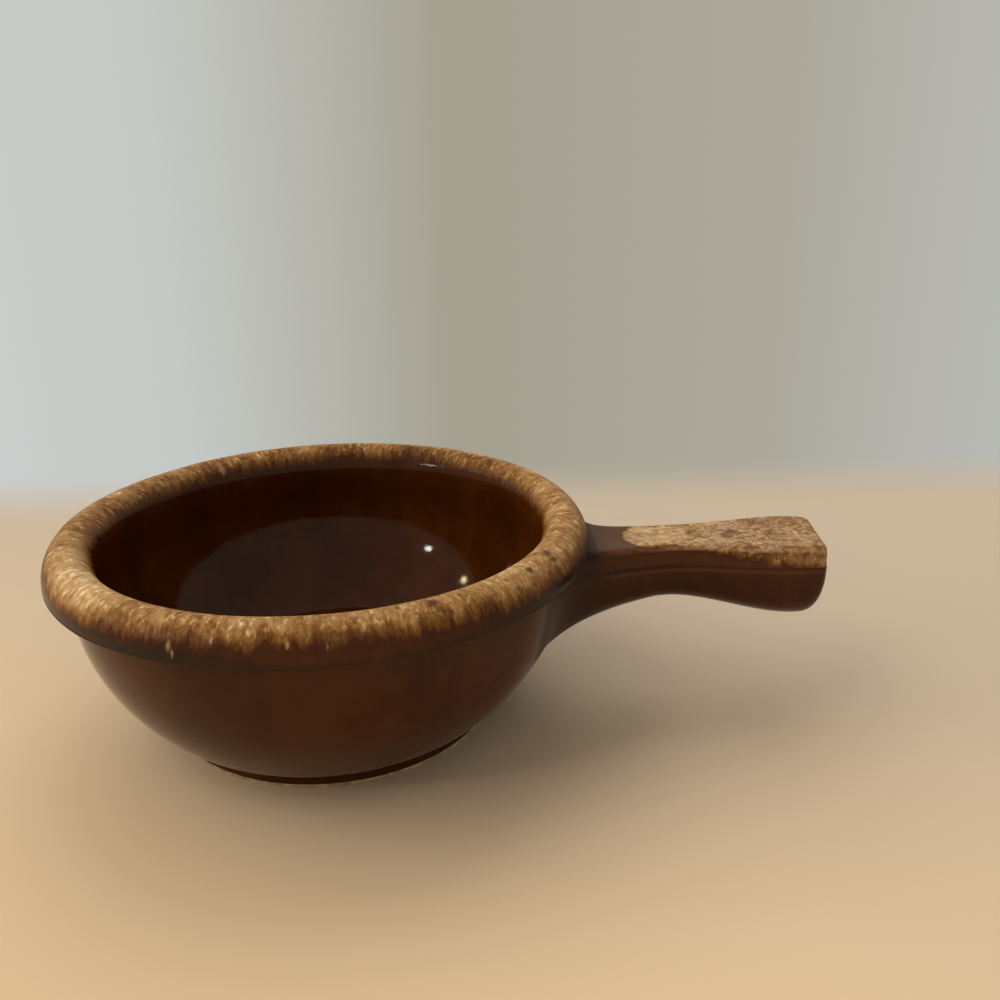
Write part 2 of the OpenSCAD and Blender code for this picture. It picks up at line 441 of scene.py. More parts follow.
    def inside_outline(self, grown: float, top: float, steps: int) -> list[Point2]:
        """Inside section from the middle of the floor up to a height.

        Args:
            grown: How far the surface stands into the bowl from the finished one.
            top: Height at which it ends.
            steps: Number of flats up the wall.

        Returns:
            Its points in that order.
        """
        floor = self.floor_height + grown
        corner = Vector((self.inside_at(self.floor_height, grown), floor))
        start = corner - Vector((self.floor_rounding, 0))
        bend = floor + 0.6 * self.floor_rounding
        finish = Vector((self.inside_at(bend, grown), bend))
        flat = [(start.x * t, floor) for t in spread(0, 1, 14)[:-1]]
        curve = [
            (1 - t) ** 2 * start + 2 * t * (1 - t) * corner + t * t * finish for t in spread(0, 1, 12)
        ]
        rise = [(self.lip_at(h, grown), h) for h in spread(bend, top, steps)[1:]]
        return flat + [(p.x, p.y) for p in curve] + rise

    def lip_at(self, height: float, grown: float) -> float:
        """Radius of the inside wall, drawn in towards the roll so that the lip has no step.

        Args:
            height: Height above the table.
            grown: How far the surface stands into the bowl from the finished one.

        Returns:
            The radius at that height.
        """
        lip = self.roll_radius - self.roll_half - grown
        wall = self.inside_at(height, grown)
        return wall + (lip - wall) * smoothstep(self.lip_start, self.roll_height, height)


def softened(line: list[Point2], reach: float, passes: int, at: Callable[[Point2], float]) -> list[Point2]:
    """Rounds a line where a weight says so.

    Args:
        line: Points of the line. Its two ends stay.
        reach: Share of the way to the neighbours' middle that a point moves in each pass.
        passes: Number of passes.
        at: Weight of a point, from 0 where it stays to 1.

    Returns:
        The softened line.
    """
    points = [Vector(p) for p in line]
    for _ in range(passes):
        moved = list(points)
        for i in range(1, len(points) - 1):
            middle = (points[i - 1] + points[i + 1]) / 2
            moved[i] = points[i].lerp(middle, reach * at((points[i].x, points[i].y)))
        points = moved
    return [(p.x, p.y) for p in points]


@dataclass
class Bowl:
    """The clay bowl and its coats of glaze, all turned round one axis."""

    form: BowlForm
    flats: int = 384
    clay_flats: int = 256
    foot_flats: int = 192

    @staticmethod
    def beside(line: list[Point2], index: int, step: float) -> Point2:
        """Point a little before or after a point of a line, in the line's direction there.

        Args:
            line: The line.
            index: Index of the point.
            step: Distance from it, below zero for a place before it.

        Returns:
            The place beside it.
        """
        before, point, after = (Vector(line[i]) for i in (index - 1, index, index + 1))
        place = point + (after - before).normalized() * step
        return place.x, place.y

    def make_clay(self, finish: bpy.types.Material) -> None:
        """Builds the clay bowl, which shows only at its foot.

        Args:
            finish: Material of the clay.
        """
        form = self.form
        edge, inner_edge = form.foot_edge, form.foot_inner_edge
        rounding = [
            (form.foot_radius - edge + edge * math.sin(a), edge - edge * math.cos(a))
            for a in spread(0, math.pi / 2, 6)
        ]
        inner = [
            (
                form.foot_inner_radius + inner_edge - inner_edge * math.sin(a),
                inner_edge - inner_edge * math.cos(a),
            )
            for a in spread(math.pi / 2, 0, 5)
        ]
        under = form.roll_outline(-form.rim_glaze, -form.glaze, 40)
        wall = [
            (form.wall_at(h, -form.glaze), h)
            for h in spread(form.foot_height, under[0][1], 30)[1:-1]
        ]
        inside = form.inside_outline(-form.glaze, under[-1][1], 24)
        roll = [p for p in under if p[0] > inside[-1][0] or p[1] > form.roll_height]
        covered = form.foot_radius - form.hem_step
        outline = [(share * form.foot_inner_radius, form.foot_recess) for share in (0.0, 0.5, 1.0)]
        outline += inner + rounding
        outline += [
            (form.foot_radius, form.bare_foot),
            (covered, form.bare_foot + 0.25),
            (covered, form.foot_height),
        ]
        outline += wall + roll + list(reversed(inside))
        stand_in("bowl_clay", turned(outline, self.clay_flats, True), finish, "bowl_body")

    def make_wall(self, finish: bpy.types.Material) -> None:
        """Builds the glaze on the outer wall, with a rolled lower edge.

        Args:
            finish: Material of the brown glaze.
        """
        form = self.form
        line, top = form.outer_line, form.crease_index
        radius, foot = form.foot_radius, form.foot_height
        outer = line[1:top] + [self.beside(line, top, -form.coat_step), line[top]]
        outer = [p for p in outer if p[1] > foot + 0.45]
        edge = [(radius + out, form.bare_foot + up) for out, up in form.hem]
        edge += [(radius + 0.02, foot - 0.4), (radius + 0.12, foot + 0.1)]
        inner = [
            (form.wall_at(h, -form.glaze), h) for h in reversed(spread(foot + 0.1, outer[-1][1], 16))
        ]
        inner += [(radius - 0.5, foot - 0.2)]
        shape = turned(edge + outer + inner, self.flats, False)
        stand_in("wall_coat", shape, finish, "wall_glaze")

    def make_rim(self, finish: bpy.types.Material) -> None:
        """Builds the tan glaze that runs over the roll.

        Args:
            finish: Material of the tan glaze.
        """
        form = self.form
        line, low = form.outer_line, form.crease_index
        end = form.lip_height + form.coat_step
        outer = [line[low], self.beside(line, low, form.coat_step)] + line[low + 1 : -1]
        outer += [(form.lip_at(end, 0), end), line[-1]]
        foot = (form.wall_radius - form.glaze, outer[0][1])
        lip = (form.lip_at(form.lip_height, -form.glaze), outer[-1][1])
        clay = form.roll_outline(-form.rim_glaze, -form.glaze, 40)
        clay = [p for p in clay if p[0] > lip[0] or p[1] > form.roll_height]
        outline = outer + [lip] + list(reversed(clay)) + [foot]
        stand_in("rim_coat", turned(outline, self.flats, False), finish, "rim_glaze")

    def make_lining(self, finish: bpy.types.Material) -> None:
        """Builds the glaze on the inside, up to the rim's lip.

        Args:
            finish: Material of the lining.
        """
        form = self.form
        end = form.lip_height - form.coat_step
        outer = form.inside_outline(0, form.lip_height, 60)
        outer.insert(-1, (form.lip_at(end, 0), end))
        inner = form.inside_outline(-form.glaze, form.lip_height, 24)
        shape = turned(outer + list(reversed(inner)), self.flats, True)
        stand_in("lining_coat", shape, finish, "lining_glaze")

    def make_foot(self, finish: bpy.types.Material) -> None:
        """Builds the glaze in the recess under the bowl, rolled up a little at its edge.

        Args:
            finish: Material of the brown glaze.
        """
        form = self.form
        low = form.foot_recess - form.glaze
        radius = form.foot_inner_radius
        outline = [(radius * t, low) for t in spread(0, 0.96, 8)]
        outline += [(radius - back, low - down) for back, down in form.recess_hem]
        outline += [(radius, form.foot_recess), (0.0, form.foot_recess)]
        stand_in("foot_coat", turned(outline, self.foot_flats, True), finish, "foot_glaze")


@dataclass(frozen=True)
class HandleForm:
    """Sizes of the handle and the curves of its sections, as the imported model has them."""

    bowl: BowlForm
    reach: float = 128.1
    end_length: float = 8.0
    end_powers: tuple[float, float, float] = (8.0, 6.0, 3.4)
    waist_reach: float = 88.0
    neck_reach: float = 72.0
    height: float = 44.3
    neck_drop: float = 0.8
    slab: float = 5.35
    neck_width: float = 18.2
    waist_width: float = 15.2
    end_width: float = 23.2
    stand_out: float = 0.8
    neck_depth: float = 13.0
    waist_depth: float = 10.7
    end_depth: float = 16.1
    root_half_width: float = 13.5
    root_seam: float = 37.5
    root_depth: float = 22.0
    arris: float = 1.4
    end_arris: float = 2.6
    lean: float = 0.08
    dish: float = 0.22
    side_hollow: float = 0.35
    groove: float = 0.24
    groove_width: float = 0.5
    belly_power: float = 2 / 2.6
    # How the root lands on the bowl: the direction of its fillet and how far it clears the rim.
    spread_power: float = 1.23
    over_rim: float = 0.3
    # Reach of the fillet on the bowl, what it gains at the sides and what it loses on top.
    fillet: float = 12.5
    fillet_beside: float = 5.5
    fillet_over: float = 8.0
    fillet_pull: Place = (0.44, 0.8, 0.64)
    # Depth by which its edge and its skin lie inside the bowl.
    sunk: float = 0.12
    skin_sunk: float = 0.06
    # Rows of the skin from the bowl outwards, then how many of them are eased and how many hug the wall.
    landing_rows: int = 14
    fillet_rows: int = 22
    grip_rows: int = 52
    eased_rows: int = 49
    ease_passes: int = 90
    hugging_rows: int = 34

    @property
    def shoulder(self) -> float:
        """Distance from the axis at which the rounded end starts."""
        return self.reach - self.end_length

    def blend(self, s: float, neck: float, waist: float, end: float) -> float:
        """A size that runs from the neck over the waist to the end.

        Args:
            s: Distance from the axis.
            neck: Size at the neck.
            waist: Size at the waist.
            end: Size at the shoulders of the end.

        Returns:
            The size at that distance.
        """
        if s < self.waist_reach:
            pinch = ((self.waist_reach - s) / (self.waist_reach - self.neck_reach)) ** 2.3
            return waist + (neck - waist) * pinch
        return waist + (end - waist) * smoothstep(self.waist_reach, self.shoulder, s)

    def top_at(self, s: float) -> float:
        """Height of the flat top at a distance from the axis."""
        share = max(0.0, (self.waist_reach - s) / (self.waist_reach - self.neck_reach))
        return self.height - self.neck_drop * share

    def columns(self) -> list[tuple[Stretch, float]]:
        """Columns of half a section, from the middle of the top to the middle of the belly.

        Returns:
            For each column its stretch and its place in it, from 0 to 1.
        """
        flat = [(Stretch.FLAT, t) for t in spread(0, 1, 10)[:-1]]
        arris = [(Stretch.ARRIS, t) for t in spread(0, 1, 7)]
        side = [(Stretch.SIDE, 1 - (1 - t) ** 1.6) for t in spread(0, 1, 12)[1:-1]]
        first = [0.0, 0.001, 0.003, 0.007, 0.014, 0.026]
        belly = [(Stretch.BELLY, t) for t in first + spread(0.045, 1.0, 27)]
        return flat + arris + side + belly

    def half_section(
        self, half_width: float, top: float, seam: float, depth: float, arris: float
    ) -> list[Point2]:
        """Half of a section, one point for each column.

        Args:
            half_width: Half-width of the flat top.
            top: Height of the flat top.
            seam: Height of the mould seam.
            depth: Depth of the belly below the seam.
            arris: Rounding between the top and the slab's side.

        Returns:
            Distance from the middle plane and height of each point.
        """
        points = []
        wide = half_width + self.stand_out
        for kind, t in self.columns():
            if kind is Stretch.FLAT:
                y, z = (half_width - arris) * t, top
                z -= self.dish * (1 - (y / half_width) ** 2)
            elif kind is Stretch.ARRIS:
                turn = math.pi / 2 * (1 - t)
                y = half_width - arris + arris * math.cos(turn)
                z = top - arris + arris * math.sin(turn)
                z -= self.dish * (1 - (y / half_width) ** 2) * (1 - t)
            elif kind is Stretch.SIDE:
                z = (top - arris) + (seam - top + arris) * t
                y = half_width + self.stand_out * t * t - self.side_hollow * math.sin(math.pi * t)
                y -= self.groove_at(z - seam)
            else:
                turn = math.pi / 2 * t
                z = seam - depth * math.sin(turn) ** self.belly_power
                y = wide * math.cos(turn) ** self.belly_power - self.groove_at(z - seam)
            points.append((max(y, 0.0), z))
        return points

    def groove_at(self, over: float) -> float:
        """Depth of the groove along the mould seam, at a height over the seam."""
        return self.groove * math.exp(-((over / self.groove_width) ** 2))

    def section(self, s: float, grown: float) -> list[Vector]:
        """Half a section of the handle between its neck and its shoulders.

        Args:
            s: Distance from the axis.
            grown: How far the surface lies outside the finished one.

        Returns:
            One point for each column.
        """
        top = self.top_at(s)
        half = self.half_section(
            self.blend(s, self.neck_width, self.waist_width, self.end_width) / 2 + grown,
            top + grown,
            top - self.slab,
            self.blend(s, self.neck_depth, self.waist_depth, self.end_depth) + grown,
            self.arris,
        )
        return [Vector((s, y, z)) for y, z in half]

    def end_section(self, share: float, grown: float) -> list[Vector]:
        """Half a section of the rounded end.

        Args:
            share: Share of the end's length, from 0 at the shoulders to 1 at the tip.
            grown: How far the surface lies outside the finished one.

        Returns:
            One point for each column.
        """
        across, over, under = (
            (1 - share**power) ** (1 / power) if share < 1 else 0.0 for power in self.end_powers
        )
        seam = self.top_at(self.shoulder) - self.slab
        arris = self.arris + (self.end_arris - self.arris) * smoothstep(0.0, 0.9, share)
        half = self.half_section(
            self.end_width / 2 + grown, seam + self.slab + grown, seam, self.end_depth + grown, arris
        )
        s = self.shoulder + (self.end_length + grown) * share
        return [
            Vector((s, y * across, seam + (z - seam) * (over if z > seam else under))) for y, z in half
        ]

    def landing(self, grown: float) -> list[tuple[Vector, Vector]]:
        """Half of the root's outline on the bowl, with the start of its fillet.

        Args:
            grown: How far the surface lies outside the finished one.

        Returns:
            For each column, the point where the fillet starts and the landing point.
        """
        half = self.half_section(
            self.root_half_width + grown,
            self.bowl.crease[1] + 0.6 * (grown + self.bowl.glaze),
            self.root_seam,
            self.root_depth + grown,
            self.arris * 1.6,
        )
        found = []
        for (kind, t), (y, z) in zip(self.columns(), half):
            out = self.outwards(kind, t)
            up = max(0.0, out.y)
            far = self.fillet + self.fillet_beside * smoothstep(0.3, 0.9, out.x)
            far -= self.fillet_over * smoothstep(0.1, 0.8, up)
            start = Vector((y, z)) + out * far
            start.x = max(0.0, start.x)
            near = spread(start.y - 1.2, start.y + 1.2, 4)
            rim = min(self.bowl.finished_at(h) for h in near) - self.sunk
            heights = spread(z - 2.4, z + 2.4, 8)
            base = sum(self.bowl.finished_at(h) for h in heights) / len(heights)
            clear = max(base, self.bowl.rim_radius + self.over_rim)
            front = base + (clear - base) * smoothstep(0.25, 0.85, up)
            found.append(
                (
                    Vector((math.sqrt(rim**2 - start.x**2), start.x, start.y)),
                    Vector((math.sqrt(front**2 - y * y), y, z + 0.25 * up)),
                )
            )
        return found

    def outwards(self, kind: Stretch, t: float) -> Vector:
        """Direction in which the root spreads on the bowl from one column of its section.

        Args:
            kind: Stretch of the section that the column belongs to.
            t: Place of the column in that stretch, from 0 to 1.

        Returns:
            The direction, across and up.
        """
        turn = math.pi / 2 * t
        if kind is Stretch.FLAT:
            return Vector((0.0, 1.0))
        if kind is Stretch.ARRIS:
            return Vector((math.sin(turn), math.cos(turn)))
        if kind is Stretch.SIDE:
            return Vector((1.0, 0.0))
        across = max(math.cos(turn), 0.0) ** self.spread_power / self.root_half_width
        down = math.sin(turn) ** self.spread_power / self.root_depth
        return Vector((across, -down)).normalized()

    def leaned(self, point: Vector) -> Vector:
        """Draws the near side of the end back a little, so that it stands slightly askew.

        Args:
            point: Point of the handle's skin.

        Returns:
            The moved point.
        """
        share = smoothstep(self.shoulder - 6.0, self.reach, point.x)
        back = self.lean * (self.end_width / 2 - point.y) * share
        return Vector((point.x - back, point.y, point.z))

    @staticmethod
    def run(row: list[Vector]) -> list[float]:
        """Length along a half section.

        Args:
            row: Points of the half section.

        Returns:
            For each point, the length from the middle of the top.
        """
        found = [0.0]
        for before, after in zip(row, row[1:]):
            found.append(found[-1] + (after - before).length)
        return found

    def rows(self, grown: float) -> list[list[Vector]]:
        """The handle's skin, row by row from the bowl to the tip.

        Args:
            grown: How far the surface lies outside the finished one.

        Returns:
            One half section for each row.
        """
        neck = self.section(self.neck_reach, grown)
        shares = Vector(self.fillet_pull)
        rows = []
        landing = self.landing(grown)
        for t in spread(0, 1, self.landing_rows)[:-1]:
            rows.append([start.lerp(land, t) for start, land in landing])
        for t in spread(0, 1, self.fillet_rows)[:-1]:
            row = []
            for (_, land), end in zip(landing, neck):
                gap = end - land
                pull = land + gap * shares
                row.append((1 - t) ** 2 * land + 2 * t * (1 - t) * pull + t * t * end)
            rows.append(row)
        rows += [self.section(s, grown) for s in spread(self.neck_reach, self.shoulder, self.grip_rows)]
        turns = spread(0, 84, 21)[1:] + [86, 87.5, 88.6, 89.4]
        rows += [self.end_section(math.sin(math.radians(a)), grown) for a in turns]
        for _ in range(self.ease_passes):
            soft = [row[:] for row in rows]
            for i in range(1, self.eased_rows):
                for j in range(len(rows[i])):
                    soft[i][j] = rows[i][j].lerp((rows[i - 1][j] + rows[i + 1][j]) / 2, 0.7)
            rows = soft
        for i in range(1, self.hugging_rows):
            rows[i] = [self.hugged(point, 1.1 * smoothstep(0, 10, i)) for point in rows[i]]
        return rows

    def hugged(self, point: Vector, blend: float) -> Vector:
        """Moves a point of the root out of the bowl, so that the root grows softly out of the wall.

        Args:
            point: Point of the root.
            blend: Distance from the wall over which it bends away, in millimetres.

        Returns:
            The point, outside the bowl or just under its skin.
        """
        wall = self.bowl.outside_at(point.z) - self.skin_sunk
        radius = math.hypot(point.x, point.y)
        near = max(blend - abs(radius - wall), 0.0) / max(blend, 0.001)
        share = (max(radius, wall) + near * near * blend / 4) / radius
        return Vector((point.x * share, point.y * share, point.z))


@dataclass
class Handle:
    """The clay handle and its two coats of glaze."""

    form: HandleForm
    clay_depth: float = 1.25

    def skin(self, grown: float, keep: Sequence[Coat], first: int = 0) -> bmesh.types.BMesh:
        """Builds the handle's skin as one ring drawn out row by row.

        Args:
            grown: How far the skin lies outside the finished surface.
            keep: Coats whose faces stay.
            first: Row at which the skin starts, counted from the bowl.

        Returns:
            The skin in metres, closed at the tip and open at the root.
        """
        form = self.form
        rows = form.rows(grown)[first:]
        runs = [form.run(row) for row in rows]
        columns = form.columns()
        last = len(columns) - 1
        count = 2 * last
        seam = next(i for i, (kind, _) in enumerate(columns) if kind is Stretch.BELLY)
        arris = next(i for i, (kind, t) in enumerate(columns) if kind is Stretch.ARRIS and t >= 0.5)
        bm = bmesh.new()
        mark = bm.verts.layers.int.new("column")
        layers = bm.verts.layers.float
        gaps = [(layers.new("arris_gap"), arris), (layers.new("seam_gap"), seam)]
        ring = bmesh.ops.create_circle(bm, segments=count, radius=1.0)["verts"]
        for i, vert in enumerate(ring):
            vert[mark] = i

        def place(vert: bmesh.types.BMVert, row: list[Vector], run: list[float]) -> None:
            """Puts a vertex of a ring on its column of a row.

            Args:
                vert: The vertex.
                row: Points of the row.
                run: Length along the row to each of its points.
            """
            i = vert[mark]
            column, side = (i, -1.0) if i <= last else (count - i, 1.0)
            point = row[column]
            vert.co = settle(form.leaned(Vector((point.x, side * point.y, point.z)))) * MM
            for layer, middle in gaps:
                vert[layer] = run[column] - run[middle]

        for vert in ring:
            place(vert, rows[0], runs[0])
        edges = list({edge for vert in ring for edge in vert.link_edges})
        for row, run in zip(rows[1:], runs[1:]):
            made = bmesh.ops.extrude_edge_only(bm, edges=edges)["geom"]
            for item in made:
                if isinstance(item, bmesh.types.BMVert):
                    place(item, row, run)
            edges = [
                item
                for item in made
                if isinstance(item, bmesh.types.BMEdge) and len(item.link_faces) == 1
            ]
        tip = bmesh.ops.contextual_create(bm, geom=edges)["faces"]
        pole = bmesh.ops.poke(bm, faces=tip)["verts"]
        for vert in pole:
            vert.co = settle(form.leaned(Vector((form.reach + grown, 0, rows[-1][seam].z)))) * MM
        drop = []
        for face in bm.faces:
            folded = [min(v[mark], count - v[mark]) for v in face.verts if v not in pole]
            coat = Coat.TOP if sum(folded) / len(folded) < seam else Coat.BELLY
            if coat not in keep:
                drop.append(face)
        bmesh.ops.delete(bm, geom=drop, context="FACES")
        return bm

    def make_coat(self, coat: Coat, name: str, finish: bpy.types.Material, node: str) -> None:
        """Builds one coat of glaze as a thin closed shell.

        Args:
            coat: Which coat it is.
            name: Name of the piece.
            finish: Its material.
            node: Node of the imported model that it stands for.
        """
        bm = self.skin(0.0, (coat,))
        inside = self.skin(-self.form.bowl.glaze, (coat,))
        scrap = bpy.data.meshes.new("scrap")
        inside.to_mesh(scrap)
        inside.free()
        bm.from_mesh(scrap)
        bpy.data.meshes.remove(scrap)
        rims = [edge for edge in bm.edges if len(edge.link_faces) == 1]
        bmesh.ops.bridge_loops(bm, edges=rims)
        stand_in(name, bm, finish, node)

    def make_clay(self, finish: bpy.types.Material) -> None:
        """Builds the clay of the handle, wholly under its glaze.

        Args:
            finish: Material of the clay.
        """
        bm = self.skin(-self.clay_depth, tuple(Coat), self.form.landing_rows)
        rim = [edge for edge in bm.edges if len(edge.link_faces) == 1]
        bmesh.ops.contextual_create(bm, geom=rim)
        stand_in("handle_clay", bm, finish, "handle")


# Finishes


def linear(colour: Rgb) -> tuple[float, float, float, float]:
    """Turns a screen colour into a linear one.

    Args:
        colour: Red, green and blue from 0 to 255.

    Returns:
        Linear red, green, blue and a full alpha.
    """
    shares = [c / 255 for c in colour]
    red, green, blue = (s / 12.92 if s <= 0.04045 else ((s + 0.055) / 1.055) ** 2.4 for s in shares)
    return red, green, blue, 1.0


class Graph:
    """Adds nodes to one tree and joins them."""

    def __init__(self, tree: bpy.types.NodeTree) -> None:
        """Works on a tree that already exists."""
        self.tree = tree

    def node(self, kind: str, **settings: object) -> bpy.types.Node:
        """Adds a node.

        Args:
            kind: Its type, without the ShaderNode that all of them start with.
            **settings: Its own settings by name.

        Returns:
            The new node.
        """
        made = self.tree.nodes.new(f"ShaderNode{kind}")
        for name, value in settings.items():
            setattr(made, name, value)
        return made

    def feed(self, socket: Socket, value: object) -> None:
        """Joins a socket to another, or sets its value.

        Args:
            socket: An input.
            value: What goes into it.
        """
        if isinstance(value, bpy.types.NodeSocket):
            self.tree.links.new(value, socket)
        else:
            socket.default_value = value

    def fill(self, sockets: Sockets, **values: object) -> None:
        """Joins or sets several sockets by name."""
        for name, value in values.items():
            self.feed(sockets[name], value)

    def use(self, tree: bpy.types.NodeTree, **given: object) -> Sockets:
        """Places a shared effect.

        Args:
            tree: The effect's group.
            **given: Its inputs by name.

        Returns:
            Its outputs by name.
        """
        made = self.node("Group", node_tree=tree)
        self.fill(made.inputs, **given)
        return dict(made.outputs.items())

    def math(self, operation: str, first: Value, second: Value = 0.0) -> Socket:
        """Adds a Math node.

        Args:
            operation: What it works out.
            first: First value or socket.
            second: Second value or socket.

        Returns:
            Its result.
        """
        made = self.node("Math", operation=operation)
        self.feed(made.inputs[0], first)
        self.feed(made.inputs[1], second)
        return made.outputs[0]

    def chain(self, operation: str, values: Sequence[Value]) -> Socket:
        """Works through values and sockets in their order.

        Args:
            operation: What is done with the result so far and the next one.
            values: The values and sockets.

        Returns:
            The last result.
        """
        total = values[0]
        for value in values[1:]:
            total = self.math(operation, total, value)
        return total

    def sum(self, *values: Value) -> Socket:
        """Adds up values and sockets."""
        return self.chain("ADD", values)

    def times(self, *values: Value) -> Socket:
        """Multiplies values and sockets."""
        return self.chain("MULTIPLY", values)

    def most(self, *values: Value) -> Socket:
        """Takes the largest of some values and sockets."""
        return self.chain("MAXIMUM", values)

    def less(self, first: Value, second: Value) -> Socket:
        """Takes a second value away from a first one."""
        return self.math("SUBTRACT", first, second)

    def over(self, first: Value, second: Value) -> Socket:
        """Divides a first value by a second one."""
        return self.math("DIVIDE", first, second)

    def centred(self, value: Value) -> Socket:
        """Moves a value that runs from 0 to 1 to run about 0."""
        return self.less(value, 0.5)

    def step(
        self, value: Socket, low: Value, high: Value, start: Value = 0.0, end: Value = 1.0
    ) -> Socket:
        """Adds a soft step.

        Args:
            value: What it depends on.
            low: Where it starts. It may lie above the end.
            high: Where it ends.
            start: Result up to the start.
            end: Result past the end.

        Returns:
            Height of the step.
        """
        made = self.node("MapRange", interpolation_type="SMOOTHSTEP")
        for index, item in enumerate((value, low, high, start, end)):
            self.feed(made.inputs[index], item)
        return made.outputs[0]

    def bump_at(self, value: Socket, place: float, width: float) -> Socket:
        """A soft hump of height 1 at one place of a value."""
        return self.step(self.math("ABSOLUTE", self.less(value, place)), width, 0.0)

    def noise(
        self, place: Socket, scale: float, detail: float = 2.0, rough: float = 0.5, bend: float = 0.0
    ) -> Socket:
        """Adds a noise texture.

        Args:
            place: Where it is read.
            scale: Waves for each unit of the place.
            detail: Finer layers on top.
            rough: Weight of the finer layers.
            bend: Distortion of the pattern.

        Returns:
            Its value, about 0.5 in the middle.
        """
        made = self.node("TexNoise", noise_dimensions="3D")
        self.fill(made.inputs, Vector=place, Scale=scale, Detail=detail, Roughness=rough, Distortion=bend)
        return made.outputs[0]

    def drawn(self, place: Socket, tall: float, *noise: float) -> Socket:
        """Adds a noise texture that is drawn out downwards, as glaze runs.

        Args:
            place: Where it is read.
            tall: Share by which heights count.
            *noise: Scale, detail, roughness and bend of the noise.

        Returns:
            Its value, about 0.5 in the middle.
        """
        return self.noise(self.stretch(place, (1.0, 1.0, tall)), *noise)

    def cells(self, place: Socket, scale: float) -> Socket:
        """Adds a cell texture.

        Args:
            place: Where it is read.
            scale: Cells for each unit of the place.

        Returns:
            Distance from the middle of the nearest cell.
        """
        made = self.node("TexVoronoi")
        self.fill(made.inputs, Vector=place, Scale=scale)
        return made.outputs["Distance"]

    def gap(self, name: str) -> Socket:
        """Distance along the handle's section from one of its edges, in millimetres."""
        return self.node("Attribute", attribute_name=name).outputs["Fac"]

    def stretch(self, place: Socket, shares: Place) -> Socket:
        """Multiplies a place by one share for each axis.

        Args:
            place: The place.
            shares: The three shares.

        Returns:
            The stretched place.
        """
        made = self.node("VectorMath", operation="MULTIPLY")
        self.feed(made.inputs[0], place)
        self.feed(made.inputs[1], shares)
        return made.outputs[0]

    def vector(self, *parts: Value) -> Socket:
        """Puts three values together.

        Args:
            *parts: The values for X, Y and Z.

        Returns:
            The place.
        """
        made = self.node("CombineXYZ")
        for socket, value in zip(made.inputs, parts):
            self.feed(socket, value)
        return made.outputs[0]

    def split(self, place: Socket) -> tuple[Socket, Socket, Socket]:
        """Takes a place apart.

        Args:
            place: The place.

        Returns:
            Its X, Y and Z.
        """
        made = self.node("SeparateXYZ")
        self.feed(made.inputs[0], place)
        return made.outputs[0], made.outputs[1], made.outputs[2]

    def distance(self, place: Socket, other: Place) -> Socket:
        """Distance of a place from a fixed one.

        Args:
            place: The place.
            other: The fixed one.

        Returns:
            The distance.
        """
        made = self.node("VectorMath", operation="DISTANCE")
        self.feed(made.inputs[0], place)
        self.feed(made.inputs[1], other)
        return made.outputs["Value"]

    def mix(self, share: Value, first: object, second: object) -> Socket:
        """Mixes two colours.

        Args:
            share: Share of the second one.
            first: First colour or socket.
            second: Second colour or socket.

        Returns:
            The mixed colour.
        """
        made = self.node("Mix", data_type="RGBA")
        self.feed(made.inputs["Factor"], share)
        self.feed(made.inputs[6], first)
        self.feed(made.inputs[7], second)
        return made.outputs[2]

    def tint(self, share: Value, colour: Socket, other: Rgb) -> Socket:
        """Mixes a share of a fixed screen colour into a colour."""
        return self.mix(share, colour, linear(other))

    def ramp(self, value: Socket, stops: Sequence[tuple[float, Rgb]]) -> Socket:
        """Adds a colour ramp.

        Args:
            value: What it depends on.
            stops: Place and screen colour of each stop.

        Returns:
            The colour.
        """
        made = self.node("ValToRGB")
        bar = made.color_ramp
        while len(bar.elements) < len(stops):
            bar.elements.new(0.5)
        for element, (place, colour) in zip(bar.elements, stops):
            element.position = place
            element.color = linear(colour)
        self.feed(made.inputs[0], value)
        return made.outputs[0]


def group(
    name: str,
    inputs: dict[str, str],
    outputs: dict[str, str],
    fill: Callable[[Graph, Sockets, Sockets], None],
) -> bpy.types.NodeTree:
    """Makes a shared node group.

    Args:
        name: Name of the group.
        inputs: Type of each input by name.
        outputs: Type of each output by name.
        fill: Builds the inside from a graph, the inputs and the outputs' sockets.

    Returns:
        The group.
    """
    tree = bpy.data.node_groups.new(name, "ShaderNodeTree")
    for key, kind in inputs.items():
        tree.interface.new_socket(key, in_out="INPUT", socket_type=f"NodeSocket{kind}")
    for key, kind in outputs.items():
        tree.interface.new_socket(key, in_out="OUTPUT", socket_type=f"NodeSocket{kind}")
    source = tree.nodes.new("NodeGroupInput")
    target = tree.nodes.new("NodeGroupOutput")
    fill(Graph(tree), dict(source.outputs.items()), dict(target.inputs.items()))
    return tree


GLAZE_STOPS = (
    (0.00, (40, 17, 5)),
    (0.18, (64, 30, 8)),
    (0.32, (84, 48, 13)),
    (0.46, (112, 72, 25)),
    (0.60, (145, 106, 57)),
    (0.75, (170, 135, 87)),
    (0.88, (194, 163, 118)),
    (1.00, (220, 197, 160)),
)
# Squares of the radii between which the crease's and the root's darker glaze and painted shade set in.
CREASE_SQUARES = (3480.0, 3600.0)
ROOT_SQUARES = (3190.0, 3310.0)
# Radius on which the flow of the rim's glaze is read, and its length for each radian over the roll.
FLOW_RADIUS = 62.0
FLOW_ROLL = 7.0
GLAZE_IOR = 1.4
GLAZE_SHINE = 0.3

